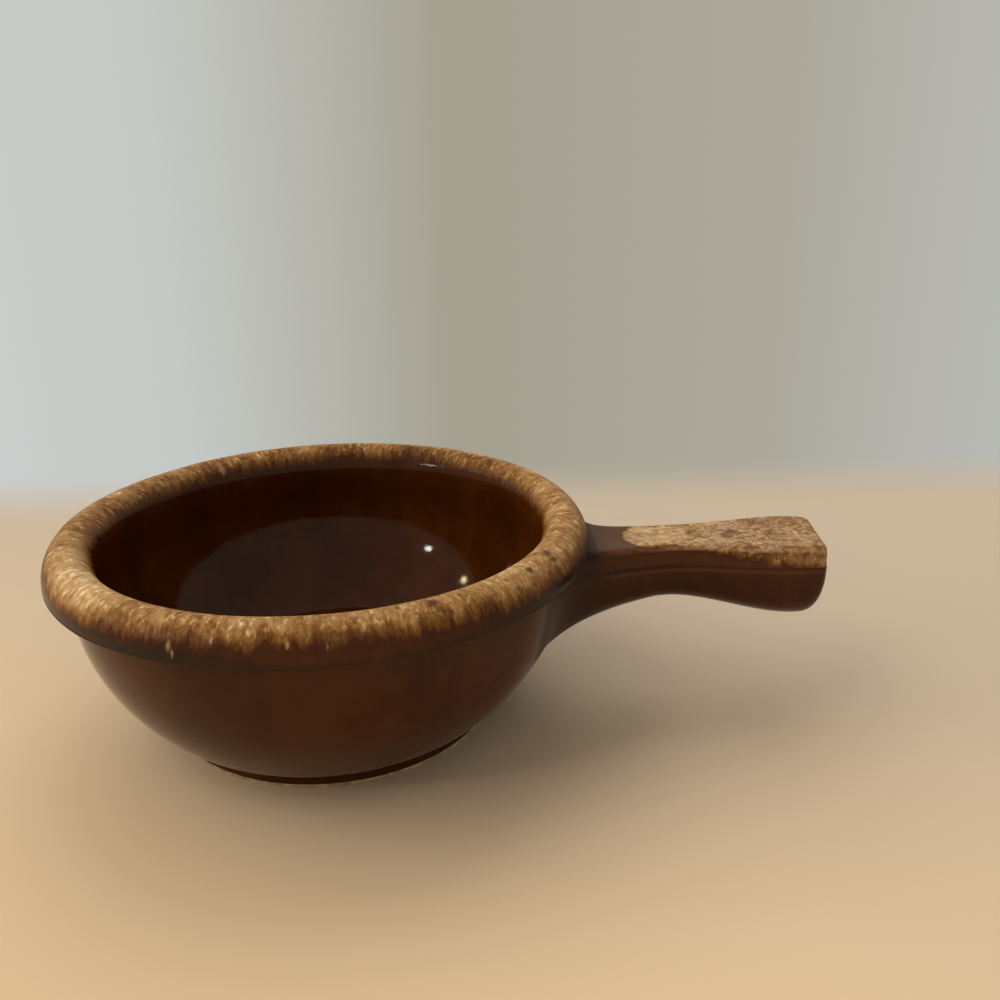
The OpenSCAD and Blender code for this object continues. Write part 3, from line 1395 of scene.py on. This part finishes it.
BROWN = (55, 25, 3)
BROWN_LIGHT = (72, 35, 6)
BROWN_SPECK = (30, 14, 4)
CLAY_SPECK = (92, 66, 44)
# Pooled glaze, darkened further as painted shade in the crease, the valley and under the root.
POOLED_AND_SHADE = (26, 21, 12)
# Painted shade and painted reflection under the roll.
UNDER_ROLL_SHADE = (24, 22, 17)
# A lighter brown that stands in for light on the handle's slab.
SIDE_BROWN_PAINTED_LIGHT = (104, 58, 24)
# Thinned glaze with a painted highlight over the arris and on the seam's lip.
THINNED_AND_HIGHLIGHT = (128, 80, 50)
# Pooled glaze and painted shade in the seam's groove.
SEAM_POOL_AND_SHADE = (34, 16, 6)
PINKISH = (136, 94, 74)
CREAM = (190, 164, 126)
MILKY = (200, 184, 154)
HOLLOW = (112, 74, 42)
PIT = (72, 38, 12)
RIDGE = (184, 144, 102)
PITS = (
    ((21.2, -56.9, 52.8), 0.9),
    ((28.3, -54.8, 52.7), 2.0),
    ((30.2, -56.4, 52.2), 1.5),
    ((32.0, -55.8, 52.0), 1.2),
    ((49.0, -38.9, 52.3), 1.5),
    ((53.5, -30.5, 52.7), 2.0),
    ((55.0, -32.2, 52.2), 1.3),
    ((17.5, -64.1, 46.3), 1.5),
    ((-32.3, 44.8, 48.8), 1.8),
)
DRIPS = (
    ((-23.1, -61.6, 48.7), 0.7),
    ((-22.4, -62.4, 47.4), 0.5),
    ((-14.3, -63.3, 50.3), 0.6),
    ((0.5, -65.3, 49.7), 0.55),
    ((8.1, -64.9, 48.6), 0.4),
    ((-34.9, 44.2, 50.6), 1.3),
)
HANDLE_PITS = (
    ((93.4, 1.0, 44.2), 1.9),
    ((104.3, 1.0, 44.2), 2.6),
    ((98.0, -4.5, 44.2), 1.4),
)


class Effects:
    """Node groups that several finishes share."""

    def __init__(self, form: BowlForm) -> None:
        """Builds each group once.

        Args:
            form: Sizes of the bowl that they follow.
        """
        self.form = form
        point = {"Point": "Vector"}
        glaze = {"Colour": "Color", "Roughness": "Float", "Relief": "Float"}
        flow = {"Flow": "Vector", "Radius": "Float", "Height": "Float"}
        tan = {"Flow": "Vector", "Under": "Color", "Cover": "Float", "Streaks": "Float", "Flecks": "Float"}
        self.bowl_flow = group("bowl_flow", point, flow, self.fill_bowl_flow)
        self.breaking = group("breaking_glaze", tan, glaze, self.fill_breaking)
        self.edges = group("moulded_edges", point, {"Thin": "Float", "Pooled": "Float"}, self.fill_edges)
        self.brown = group("brown_glaze", point, glaze, self.fill_brown)

    def fill_edges(self, graph: Graph, given: Sockets, out: Sockets) -> None:
        """Where glaze thins over the handle's arris and pools along its mould seam, with a painted
        highlight on the arris and on the lip under the seam, and painted shade in the seam's groove.

        Args:
            graph: Graph of the group.
            given: Its inputs by name.
            out: Its outputs by name.
        """
        point = given["Point"]
        arris, seam = graph.gap("arris_gap"), graph.gap("seam_gap")
        x, _, _ = graph.split(point)
        wave = graph.centred(graph.noise(point, 0.25, 3.0, 0.6))
        broken = graph.step(graph.noise(point, 0.6, 3.0, 0.6), 0.38, 0.6, 0.35, 1.0)
        # Thinner glaze and a painted highlight along the arris.
        crest = graph.bump_at(graph.sum(arris, graph.times(wave, 1.2)), 0.0, 1.4)
        crest = graph.times(crest, graph.step(x, 68.0, 74.0), broken)
        # Painted highlight on the lip just under the mould seam.
        lip = graph.bump_at(graph.sum(seam, graph.times(wave, 0.5)), 1.1, 0.8)
        lip = graph.times(lip, graph.step(x, 66.0, 74.0))
        # The seam's groove darkens as pooled glaze and painted shade.
        fade = graph.times(graph.step(x, 65.0, 72.0, 0.0, 0.8), graph.step(x, 82.0, 98.0, 1.0, 0.3))
        graph.fill(
            out,
            Thin=graph.most(graph.times(crest, 0.55), graph.times(lip, 0.22)),
            Pooled=graph.times(graph.bump_at(seam, 0.0, 0.8), fade),
        )

    def fill_bowl_flow(self, graph: Graph, given: Sockets, out: Sockets) -> None:
        """Coordinates that run round the rim and down its section, in millimetres.

        Args:
            graph: Graph of the group.
            given: Its inputs by name.
            out: Its outputs by name.
        """
        form = self.form
        x, y, z = graph.split(given["Point"])
        radius = graph.math("SQRT", graph.sum(graph.times(x, x), graph.times(y, y)))
        height = graph.less(z, form.roll_height)
        rise = graph.over(height, form.rim_rise)
        lean = graph.over(graph.less(radius, form.roll_radius), form.roll_half)
        turn = graph.math("ARCTAN2", lean, graph.most(rise, 0.15))
        down = graph.sum(
            graph.times(turn, FLOW_ROLL), graph.times(graph.math("MINIMUM", height, 0.0), -1.0)
        )
        safe = graph.most(radius, 1.0)
        round_x, round_y = (graph.times(graph.over(part, safe), FLOW_RADIUS) for part in (x, y))
        graph.fill(out, Flow=graph.vector(round_x, round_y, down), Radius=radius, Height=z)

    def fill_breaking(self, graph: Graph, given: Sockets, out: Sockets) -> None:
        """Tan glaze that breaks from nearly black over amber to cream as it gets thicker.

        Args:
            graph: Graph of the group.
            given: Its inputs by name.
            out: Its outputs by name.
        """
        flow, cover = given["Flow"], given["Cover"]
        long = graph.centred(graph.drawn(flow, 0.24, 0.7, 3.0, 0.6, 0.1))
        short = graph.centred(graph.drawn(flow, 0.5, 1.5, 2.0, 0.6, 0.2))
        patch = graph.centred(graph.drawn(flow, 0.6, 0.09, 2.0, 0.5))
        blot = graph.centred(graph.drawn(flow, 0.75, 0.36, 2.0, 0.5, 0.8))
        mottle = graph.centred(graph.drawn(flow, 0.8, 0.62, 3.0, 0.65, 0.6))
        fleck = graph.drawn(flow, 0.45, 1.0, 2.0, 0.6, 0.2)
        light = graph.times(graph.step(fleck, 0.55, 0.68), given["Flecks"])
        level = graph.sum(
            cover,
            graph.times(graph.sum(long, graph.times(short, 0.8)), given["Streaks"]),
            graph.times(patch, 0.4),
            graph.times(blot, 0.32),
            light,
            graph.times(mottle, graph.step(cover, 0.35, 0.6, 0.0, 0.5)),
        )
        level = graph.math("MINIMUM", graph.most(level, 0.0), 1.0)
        thick = graph.ramp(level, GLAZE_STOPS)
        grain = graph.noise(flow, 6.0, 2.0, 0.6)
        rough = graph.step(level, 0.0, 0.5, 0.05, 0.46)
        graph.fill(
            out,
            Colour=graph.mix(graph.step(level, 0.05, 0.3), given["Under"], thick),
            Roughness=graph.sum(rough, graph.times(graph.centred(grain), 0.1)),
            Relief=graph.sum(graph.times(level, 0.6), graph.times(light, 0.5), graph.times(grain, 0.12)),
        )

    def fill_brown(self, graph: Graph, given: Sockets, out: Sockets) -> None:
        """Glossy brown glaze with soft runs and a few fine specks, darker where it pools, with painted
        shade in the crease under the roll, in the valley between rim and handle and under the handle's
        root.

        Args:
            graph: Graph of the group.
            given: Its inputs by name.
            out: Its outputs by name.
        """
        point = given["Point"]
        x, y, z = graph.split(point)
        squared = graph.sum(graph.times(x, x), graph.times(y, y))
        runs = graph.drawn(point, 0.35, 0.06, 3.0, 0.55, 0.4)
        cloud = graph.noise(point, 0.22, 4.0, 0.6)
        grain = graph.noise(point, 2.2, 3.0, 0.65)
        share = graph.sum(graph.times(runs, 0.6), graph.times(cloud, 0.3), graph.times(grain, 0.1))
        colour = graph.mix(graph.step(share, 0.36, 0.64), linear(BROWN), linear(BROWN_LIGHT))
        speck = graph.step(graph.cells(point, 0.55), 0.13, 0.06)
        colour = graph.tint(graph.times(speck, 0.3), colour, BROWN_SPECK)
        # Pooled glaze and painted shade in the crease under the roll, in the valley between the rim and the
        # handle and on the wall under the handle's root.
        crease = graph.times(
            graph.bump_at(z, 43.7, 1.0), graph.step(x, 60.0, 56.0), graph.step(squared, *CREASE_SQUARES)
        )
        valley_shade = graph.times(
            graph.step(x, 70.0, 67.0), graph.step(x, 60.0, 63.0), graph.bump_at(z, 44.0, 5.0)
        )
        root = graph.times(
            graph.step(squared, *ROOT_SQUARES),
            graph.step(x, 82.0, 62.0),
            graph.step(x, 48.0, 54.0),
            graph.step(graph.math("ABSOLUTE", y), 34.0, 27.5),
        )
        # Pooled glaze and painted shade, also rougher.
        pool_and_shade = graph.most(graph.times(crease, 0.85), graph.times(valley_shade, 0.9), graph.times(root, 0.4))
        rough = graph.sum(
            0.045,
            graph.times(grain, 0.05),
            graph.times(speck, 0.08),
            graph.times(pool_and_shade, 0.2),
            graph.times(root, 0.34),
        )
        graph.fill(
            out,
            Colour=graph.tint(pool_and_shade, colour, POOLED_AND_SHADE),
            Roughness=rough,
            Relief=graph.sum(cloud, graph.times(grain, 0.1)),
        )


@dataclass(frozen=True)
class Finish:
    """What all finishes of the bowl have in common."""

    name: str

    def start(self) -> tuple[bpy.types.Material, Graph, bpy.types.Node, Socket]:
        """Makes an empty material.

        Returns:
            The material, its graph, its shader and the place on the object in millimetres.
        """
        made = bpy.data.materials.new(self.name)
        made.use_nodes = True
        graph = Graph(made.node_tree)
        shader = made.node_tree.nodes["Principled BSDF"]
        shader.inputs["IOR"].default_value = GLAZE_IOR
        shader.inputs["Specular IOR Level"].default_value = GLAZE_SHINE
        place = graph.node("VectorMath", operation="SCALE")
        graph.feed(place.inputs[0], graph.node("TexCoord").outputs["Object"])
        place.inputs["Scale"].default_value = 1 / MM
        return made, graph, shader, place.outputs[0]

    def dress(
        self,
        graph: Graph,
        shader: bpy.types.Node,
        colour: Socket,
        rough: Socket,
        height: Socket,
        depth: float,
    ) -> None:
        """Gives the shader its colour, its gloss and its relief.

        Args:
            graph: Graph of the material.
            shader: Its shader.
            colour: Its colour.
            rough: Its roughness.
            height: Height of the relief, about 0 to 1.
            depth: Depth of the relief in millimetres.
        """
        made = graph.node("Bump")
        made.inputs["Strength"].default_value = 1.0
        made.inputs["Distance"].default_value = depth * MM
        graph.feed(made.inputs["Height"], height)
        graph.feed(shader.inputs["Base Color"], colour)
        graph.feed(shader.inputs["Roughness"], rough)
        graph.feed(shader.inputs["Normal"], made.outputs[0])


@dataclass(frozen=True)
class BrownGlaze(Finish):
    """Glossy brown glaze, thinned over the edges of a moulded piece where it has them, with painted
    highlights on those edges and painted shade along its seam.
    """

    moulded: bool = False
    depth: float = 0.04

    def make(self, effects: Effects) -> bpy.types.Material:
        """Builds the material.

        Args:
            effects: The shared node groups.

        Returns:
            The material.
        """
        made, graph, shader, point = self.start()
        brown = graph.use(effects.brown, Point=point)
        colour = brown["Colour"]
        if self.moulded:
            edges = graph.use(effects.edges, Point=point)
            # Painted highlight on the edges and painted shade in the seam.
            colour = graph.tint(edges["Thin"], colour, THINNED_AND_HIGHLIGHT)
            colour = graph.tint(edges["Pooled"], colour, SEAM_POOL_AND_SHADE)
        self.dress(graph, shader, colour, brown["Roughness"], brown["Relief"], self.depth)
        return made


@dataclass(frozen=True)
class TanGlaze(Finish):
    """Tan glaze over brown, with spots where it has burst or run down."""

    depth: float = 0.05

    def spots(
        self, graph: Graph, point: Socket, places: Sequence[tuple[Place, float]], tall: float
    ) -> Socket:
        """A mask of small spots with ragged edges.

        Args:
            graph: Graph of the material.
            point: Place on the object in millimetres.
            places: Middle and radius of each spot.
            tall: Share by which heights count, less than one for spots drawn out downwards.

        Returns:
            The mask, 1 inside the spots.
        """
        stretched = graph.stretch(point, (1.0, 1.0, tall))
        wave = graph.centred(graph.noise(point, 1.1, 2.0, 0.6))
        mask = 0.0
        for (x, y, z), radius in places:
            off = graph.sum(graph.distance(stretched, (x, y, z * tall)), graph.times(wave, 1.2 * radius))
            mask = graph.most(mask, graph.step(off, radius, 0.2 * radius))
        return graph.times(mask, 0.9)

    def glaze(
        self,
        graph: Graph,
        shader: bpy.types.Node,
        colour: Socket,
        coats: Sequence[Sockets],
        dull: Value = 0.0,
    ) -> None:
        """Gives tan glaze its gloss and relief, the same as brown glaze where it has run out.

        Args:
            graph: Graph of the material.
            shader: Its shader.
            colour: Its colour.
            coats: Outputs of the brown glaze and of the tan glaze.
            dull: Least roughness.
        """
        brown, tan = coats
        rough = graph.most(brown["Roughness"], tan["Roughness"], dull)
        relief = graph.sum(tan["Relief"], graph.times(brown["Relief"], 0.8))
        self.dress(graph, shader, colour, rough, relief, self.depth)


@dataclass(frozen=True)
class RimGlaze(TanGlaze):
    """Tan glaze that runs over the rim and down both its sides."""

    def make(self, effects: Effects) -> bpy.types.Material:
        """Builds the material.

        Args:
            effects: The shared node groups.

        Returns:
            The material.
        """
        made, graph, shader, point = self.start()
        flow = graph.use(effects.bowl_flow, Point=point)
        brown = graph.use(effects.brown, Point=point)
        x, y, z = graph.split(point)
        around = graph.math("ARCTAN2", y, x)
        side = graph.step(flow["Radius"], 59.0, 61.5)
        tongues = graph.centred(graph.drawn(flow["Flow"], 0.02, 0.42, 2.0, 0.6))
        sway = graph.centred(graph.drawn(flow["Flow"], 0.02, 0.05, 1.0, 0.5))
        height = graph.sum(flow["Height"], graph.times(tongues, 2.1), graph.times(sway, 2.4))
        cover = self.cover(graph, height, around, side)
        thin = graph.step(cover, 0.0, 0.3, 0.1, 0.62)
        tan = graph.use(
            effects.breaking,
            Flow=flow["Flow"],
            Under=brown["Colour"],
            Cover=cover,
            Streaks=graph.times(thin, graph.step(cover, 0.35, 0.62, 1.0, 0.7)),
            Flecks=graph.step(flow["Height"], 49.0, 52.0, 0.0, 0.24),
        )
        # Painted shade and painted reflection under the roll, dark along the tan's lower edge.
        under_roll_shade = self.under_roll_shade(graph, graph.sum(z, graph.times(tongues, 3.0)), around)
        colour = graph.tint(graph.times(under_roll_shade, side), tan["Colour"], UNDER_ROLL_SHADE)
        colour = graph.tint(graph.times(self.spots(graph, point, DRIPS, 0.3), 0.6), colour, CREAM)
        colour = graph.tint(self.spots(graph, point, PITS, 0.8), colour, PIT)
        dull = graph.times(side, graph.step(z, 46.0, 44.8, 0.24, 0.6))
        self.glaze(graph, shader, colour, (brown, tan), dull)
        return made

    def cover(self, graph: Graph, height: Socket, around: Socket, side: Socket) -> Socket:
        """How thick the tan glaze lies, thinner towards both edges and uneven round the rim.

        Args:
            graph: Graph of the material.
            height: Height above the table, moved up and down as the glaze has run.
            around: Angle round the axis, in radians from the handle.
            side: 1 on the outside of the roll, 0 on its inside.

        Returns:
            The thickness, from 0 to 1.
        """
        outside = graph.step(height, 45.9, 52.6, 0.02, 0.64)
        inside = graph.step(height, 45.6, 52.4, 0.02, 0.6)
        inside = graph.less(inside, graph.times(graph.bump_at(around, 1.1, 0.9), 0.16))
        thick = graph.sum(
            graph.times(graph.bump_at(around, -0.75, 0.5), 0.09),
            graph.times(graph.bump_at(around, -2.5, 0.5), 0.27),
            -0.035,
        )
        return graph.sum(
            graph.times(side, outside),
            graph.times(graph.less(1.0, side), inside),
            graph.times(thick, graph.step(height, 45.9, 47.5)),
        )

    def under_roll_shade(self, graph: Graph, height: Socket, around: Socket) -> Socket:
        """Painted shade and painted reflection under the roll along the tan's lower edge, weaker and lower
        on the left and the right.

        Args:
            graph: Graph of the material.
            height: Height above the table, moved up and down as the glaze has run.
            around: Angle round the axis, in radians from the handle.

        Returns:
            Strength of the band.
        """
        left = graph.step(graph.math("ABSOLUTE", graph.math("ADD", around, 2.15)), 0.7, 0.25)
        right = graph.step(graph.math("ABSOLUTE", graph.math("ADD", around, 0.6)), 0.5, 0.2)
        low = graph.sum(height, graph.times(left, -1.9), graph.times(right, -1.6), 1.2)
        strong = graph.sum(0.4, graph.times(left, 0.3), graph.times(right, 0.2))
        return graph.times(graph.step(low, 47.8, 46.4), strong)


@dataclass(frozen=True)
class HandleTopGlaze(TanGlaze):
    """Tan glaze over the handle's top that spills down the sides of the slab towards its end."""

    def make(self, effects: Effects) -> bpy.types.Material:
        """Builds the material.

        Args:
            effects: The shared node groups.

        Returns:
            The material.
        """
        made, graph, shader, point = self.start()
        x, _, _ = graph.split(point)
        arris = graph.gap("arris_gap")
        cover = self.cover(graph, point, arris)
        brown = graph.use(effects.brown, Point=point)
        edges = graph.use(effects.edges, Point=point)
        # Painted light: a lighter brown on the handle's top coat from near its root on.
        under = graph.tint(graph.step(x, 67.0, 71.0, 0.0, 0.26), brown["Colour"], SIDE_BROWN_PAINTED_LIGHT)
        # Painted highlight over the arris and the seam's lip.
        under = graph.tint(edges["Thin"], under, THINNED_AND_HIGHLIGHT)
        tan = graph.use(
            effects.breaking,
            Flow=graph.stretch(point, (0.75, 0.75, 0.75)),
            Under=graph.tint(edges["Pooled"], under, SEAM_POOL_AND_SHADE),
            Cover=cover,
            Streaks=graph.step(cover, 0.0, 0.4, 0.0, 0.45),
            Flecks=graph.times(graph.step(cover, 0.25, 0.45), graph.step(x, 92.0, 106.0, 0.2, 0.29)),
        )
        colour = self.mottled(graph, point, arris, cover, tan["Colour"])
        pits = graph.times(self.spots(graph, point, HANDLE_PITS, 1.0), 0.8)
        self.glaze(graph, shader, graph.tint(pits, colour, PIT), (brown, tan))
        return made

    def cover(self, graph: Graph, point: Socket, arris: Socket) -> Socket:
        """How thick the tan glaze lies, from its rounded start to where it spills down the sides, raised on
        the slab's sides near the end as painted light.

        Args:
            graph: Graph of the material.
            point: Place on the object in millimetres.
            arris: Distance down the section from the arris, in millimetres.

        Returns:
            The thickness, from 0 to 1.
        """
        x, y, _ = graph.split(point)
        wave = graph.centred(graph.noise(point, 0.35, 3.0, 0.6))
        share = graph.math("MINIMUM", graph.over(graph.math("ABSOLUTE", y), 8.0), 1.0)
        round_off = graph.math("SQRT", graph.less(1.0, graph.times(share, share)))
        nose = graph.sum(x, graph.times(round_off, 7.0), graph.times(wave, 2.0))
        run = graph.centred(graph.drawn(point, 0.12, 0.5, 2.0, 0.5))
        run = graph.times(run, graph.step(x, 84.0, 96.0, 1.2, 3.4))
        spill = graph.step(graph.sum(x, graph.times(wave, 10.0)), 85.0, 115.0, -0.6, 4.8)
        side = graph.step(graph.less(graph.sum(arris, run), spill), 2.2, -1.9)
        shade = graph.times(graph.step(x, 82.0, 116.0, 0.66, 0.5), graph.step(arris, 3.0, 0.0, 0.72, 1.0))
        # Tan spill plus painted light: more tan, and so a lighter colour, on the slab's sides near the end.
        thicker = graph.times(graph.step(x, 108.0, 119.0), graph.step(arris, 0.5, 2.5, 0.0, 0.14))
        return graph.sum(
            graph.times(graph.step(nose, 81.4, 84.4), side, shade), graph.times(thicker, side)
        )

    def mottled(self, graph: Graph, point: Socket, arris: Socket, cover: Socket, colour: Socket) -> Socket:
        """Adds the pinkish cells, the pale ridge and the milky curds and hollows.

        Args:
            graph: Graph of the material.
            point: Place on the object in millimetres.
            arris: Distance down the section from the arris, in millimetres.
            cover: How thick the tan glaze lies.
            colour: Its colour so far.

        Returns:
            The mottled colour.
        """
        x, _, _ = graph.split(point)
        cell = graph.noise(point, 0.75, 3.0, 0.6, 0.8)
        pink = graph.times(
            graph.step(cell, 0.5, 0.62), graph.step(x, 98.0, 116.0, 0.15, 0.75), graph.step(cover, 0.4, 0.6)
        )
        colour = graph.tint(pink, colour, PINKISH)
        broken = graph.step(graph.noise(point, 0.7, 3.0, 0.6), 0.4, 0.6, 0.5, 1.0)
        ridge = graph.times(graph.bump_at(arris, 0.4, 0.9), graph.step(x, 80.0, 88.0, 0.0, 0.6), broken)
        colour = graph.tint(ridge, colour, RIDGE)
        full = graph.times(graph.step(cover, 0.3, 0.5), graph.step(arris, 1.5, 0.0, 0.4, 1.0))
        curd = graph.noise(graph.stretch(point, (0.8, 1.0, 1.0)), 0.42, 5.0, 0.72, 1.2)
        milky = graph.times(
            full, graph.step(curd, 0.42, 0.62, 0.0, 0.5), graph.step(x, 100.0, 118.0, 1.0, 0.65)
        )
        colour = graph.tint(milky, colour, MILKY)
        hollow = graph.times(graph.step(curd, 0.5, 0.34), graph.step(x, 84.0, 116.0, 0.2, 0.75))
        return graph.tint(graph.times(full, hollow), colour, HOLLOW)


@dataclass(frozen=True)
class BareClay(Finish):
    """Fired stoneware without glaze, with fine dark specks."""

    colour: Rgb = (196, 176, 146)
    dark: Rgb = (150, 124, 92)
    depth: float = 0.08

    def make(self) -> bpy.types.Material:
        """Builds the material.

        Returns:
            The material.
        """
        made, graph, shader, point = self.start()
        cloud = graph.noise(point, 0.4, 4.0, 0.6)
        grain = graph.noise(point, 4.0, 3.0, 0.7)
        colour = graph.mix(graph.step(cloud, 0.35, 0.65), linear(self.colour), linear(self.dark))
        speck = graph.step(graph.cells(point, 1.6), 0.16, 0.06)
        colour = graph.tint(graph.times(speck, 0.6), colour, CLAY_SPECK)
        self.dress(graph, shader, colour, graph.step(grain, 0.3, 0.7, 0.7, 0.9), grain, self.depth)
        return made


# Stage


@dataclass
class Studio:
    """Floor, light and camera. None of it belongs to the bowl."""

    near: Rgb = (214, 190, 158)
    middle: Rgb = (188, 176, 160)
    backdrop: tuple[tuple[float, Rgb], ...] = (
        (0.00, (188, 190, 184)),
        (0.43, (202, 206, 204)),
        (0.456, (198, 201, 197)),
        (0.50, (164, 160, 144)),
        (0.55, (172, 168, 156)),
        (0.58, (184, 185, 179)),
        (1.00, (188, 190, 184)),
    )
    camera_place: Place = (34.017, -237.784, 139.517)
    camera_right: Place = (0.99880, -0.04762, -0.01124)
    camera_up: Place = (0.02656, 0.33471, 0.94195)
    camera_lens: float = 36.0
    camera_sensor: float = 36.0
    camera_near: float = 0.01
    floor_half: float = 6.0
    aim: Place = (0.0, 0.0, 0.02)
    surround: tuple[float, ...] = (0.86, 0.78, 0.66, 1.0)

    def make_floor(self) -> None:
        """Lays a wide pale floor that turns from warm to cool behind the bowl."""
        made = bpy.data.materials.new("studio_floor")
        made.use_nodes = True
        graph = Graph(made.node_tree)
        shader = made.node_tree.nodes["Principled BSDF"]
        place = graph.node("TexCoord").outputs["Object"]
        x, y, _ = graph.split(place)
        turn = graph.step(graph.sum(y, graph.times(x, 0.45)), -0.14, 0.12)
        colour = graph.mix(turn, linear(self.near), linear(self.middle))
        graph.feed(shader.inputs["Base Color"], colour)
        shader.inputs["Roughness"].default_value = 0.85
        shader.inputs["Specular IOR Level"].default_value = 0.2
        glow = graph.node("Emission")
        from_x, from_y, _ = self.camera_place
        away = graph.less(x, from_x * MM), graph.less(y, from_y * MM)
        graph.feed(glow.inputs["Color"], self.backdrop_at(graph, *away))
        seen = graph.node("LightPath").outputs["Is Camera Ray"]
        fade = graph.most(
            graph.step(graph.distance(place, (0.0, -0.05, 0.0)), 0.3, 1.0), graph.step(y, 0.13, 0.21)
        )
        both = graph.node("MixShader")
        graph.feed(both.inputs[0], graph.times(fade, seen))
        graph.feed(both.inputs[1], shader.outputs[0])
        graph.feed(both.inputs[2], glow.outputs[0])
        graph.feed(made.node_tree.nodes["Material Output"].inputs["Surface"], both.outputs[0])
        bm = bmesh.new()
        bmesh.ops.create_grid(bm, x_segments=8, y_segments=8, size=self.floor_half)
        floor = to_object("floor", bm, made)

    def backdrop_at(self, graph: Graph, x: Socket, y: Socket) -> Socket:
        """Colour of the pale backdrop, which shades off a little round the bowl.

        Args:
            graph: Graph that it is needed in.
            x: First part of the direction.
            y: Second part of the direction.

        Returns:
            Its colour.
        """
        turn = graph.over(graph.math("ARCTAN2", x, y), math.tau)
        return graph.ramp(graph.math("ADD", turn, 0.5), self.backdrop)

    def make_light(self) -> None:
        """Sets a soft key from the left, a soft light from behind, two small lamps and a pale surround."""
        world = bpy.data.worlds.new("surround")
        world.use_nodes = True
        graph = Graph(world.node_tree)
        back = world.node_tree.nodes["Background"]
        seen = graph.node("LightPath").outputs["Is Camera Ray"]
        x, y, _ = graph.split(graph.node("TexCoord").outputs["Generated"])
        colour = graph.mix(seen, self.surround, self.backdrop_at(graph, x, y))
        graph.feed(back.inputs["Color"], colour)
        graph.feed(back.inputs["Strength"], graph.step(seen, 0.0, 1.0, 0.56, 1.0))
        bpy.context.scene.world = world
        self.sun("key", (-1.1, 0.0, 1.0), 1.8, 60.0, (1.0, 0.88, 0.72))
        self.sun("above", (-0.05, 0.8, 1.0), 1.15, 52.0, (1.0, 0.94, 0.86))
        self.lamp("window", (-0.628, -0.369, 0.376), 0.035, 0.3, (1.0, 0.97, 0.92))
        self.lamp("glow", (-0.717, 0.074, 0.413), 0.035, 0.2, (1.0, 0.8, 0.42))

    def sun(self, name: str, way: Place, energy: float, angle: float, colour: Place) -> None:
        """Sets one soft light from far away, without a highlight of its own.

        Args:
            name: Name of the lamp.
            way: Direction that its light comes from.
            energy: Its strength.
            angle: Its width in degrees.
            colour: Its linear colour.
        """
        data = bpy.data.lights.new(name, "SUN")
        data.energy = energy
        data.angle = math.radians(angle)
        data.color = colour
        sun = bpy.data.objects.new(name, data)
        sun.rotation_euler = Vector(way).to_track_quat("Z", "Y").to_euler()
        sun.visible_glossy = False
        bpy.context.scene.collection.objects.link(sun)

    def lamp(self, name: str, place: Place, size: float, power: float, colour: Place) -> None:
        """Hangs one square soft lamp that faces the bowl.

        Args:
            name: Name of the lamp.
            place: Where it hangs, in metres.
            size: Width of its square, in metres.
            power: Its power in watts.
            colour: Its linear colour.
        """
        data = bpy.data.lights.new(name, "AREA")
        data.size = size
        data.energy = power
        data.color = colour
        lamp = bpy.data.objects.new(name, data)
        lamp.location = place
        lamp.rotation_euler = (Vector(place) - Vector(self.aim)).to_track_quat("Z", "Y").to_euler()
        bpy.context.scene.collection.objects.link(lamp)

    def make_camera(self) -> None:
        """Sets the camera where the photograph was taken from."""
        data = bpy.data.cameras.new("camera")
        data.lens = self.camera_lens
        data.sensor_width = self.camera_sensor
        data.clip_start = self.camera_near
        camera = bpy.data.objects.new("camera", data)
        right, up = Vector(self.camera_right), Vector(self.camera_up)
        back = right.cross(up)
        turn = Matrix((right, up, back)).transposed().to_4x4()
        camera.matrix_world = Matrix.Translation(Vector(self.camera_place) * MM) @ turn
        bpy.context.scene.collection.objects.link(camera)
        bpy.context.scene.camera = camera


def main() -> None:
    """Builds the bowl, its handle and the stage."""
    logging.basicConfig(level=logging.INFO, format="%(name)s: %(message)s")
    noise.seed_set(WARP_SEED)
    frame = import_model()
    bowl = Bowl(BowlForm())
    effects = Effects(bowl.form)
    clay = BareClay("bare_clay").make()
    brown = BrownGlaze("brown_glaze").make(effects)
    moulded = BrownGlaze("brown_glaze_moulded", moulded=True).make(effects)
    handle_tan = HandleTopGlaze("tan_glaze_handle").make(effects)
    slip = BareClay("joint_slip_clay", (178, 152, 116), (140, 112, 80)).make()

    bowl.make_clay(clay)
    bowl.make_wall(brown)
    bowl.make_rim(RimGlaze("tan_glaze_rim").make(effects))
    bowl.make_lining(brown)
    bowl.make_foot(brown)

    handle = Handle(HandleForm(bowl.form))
    handle.make_clay(clay)
    handle.make_coat(Coat.TOP, "handle_top_coat", handle_tan, "handle_top_glaze")
    handle.make_coat(Coat.BELLY, "handle_belly_coat", moulded, "handle_glaze")

    joint = frame["nodes"]["joint_slip"]
    joint.data.materials.clear()
    joint.data.materials.append(slip)

    studio = Studio()
    studio.make_floor()
    studio.make_light()
    studio.make_camera()

    view = bpy.context.scene.view_settings
    view.view_transform = "Standard"


if __name__ == "__main__":
    main()
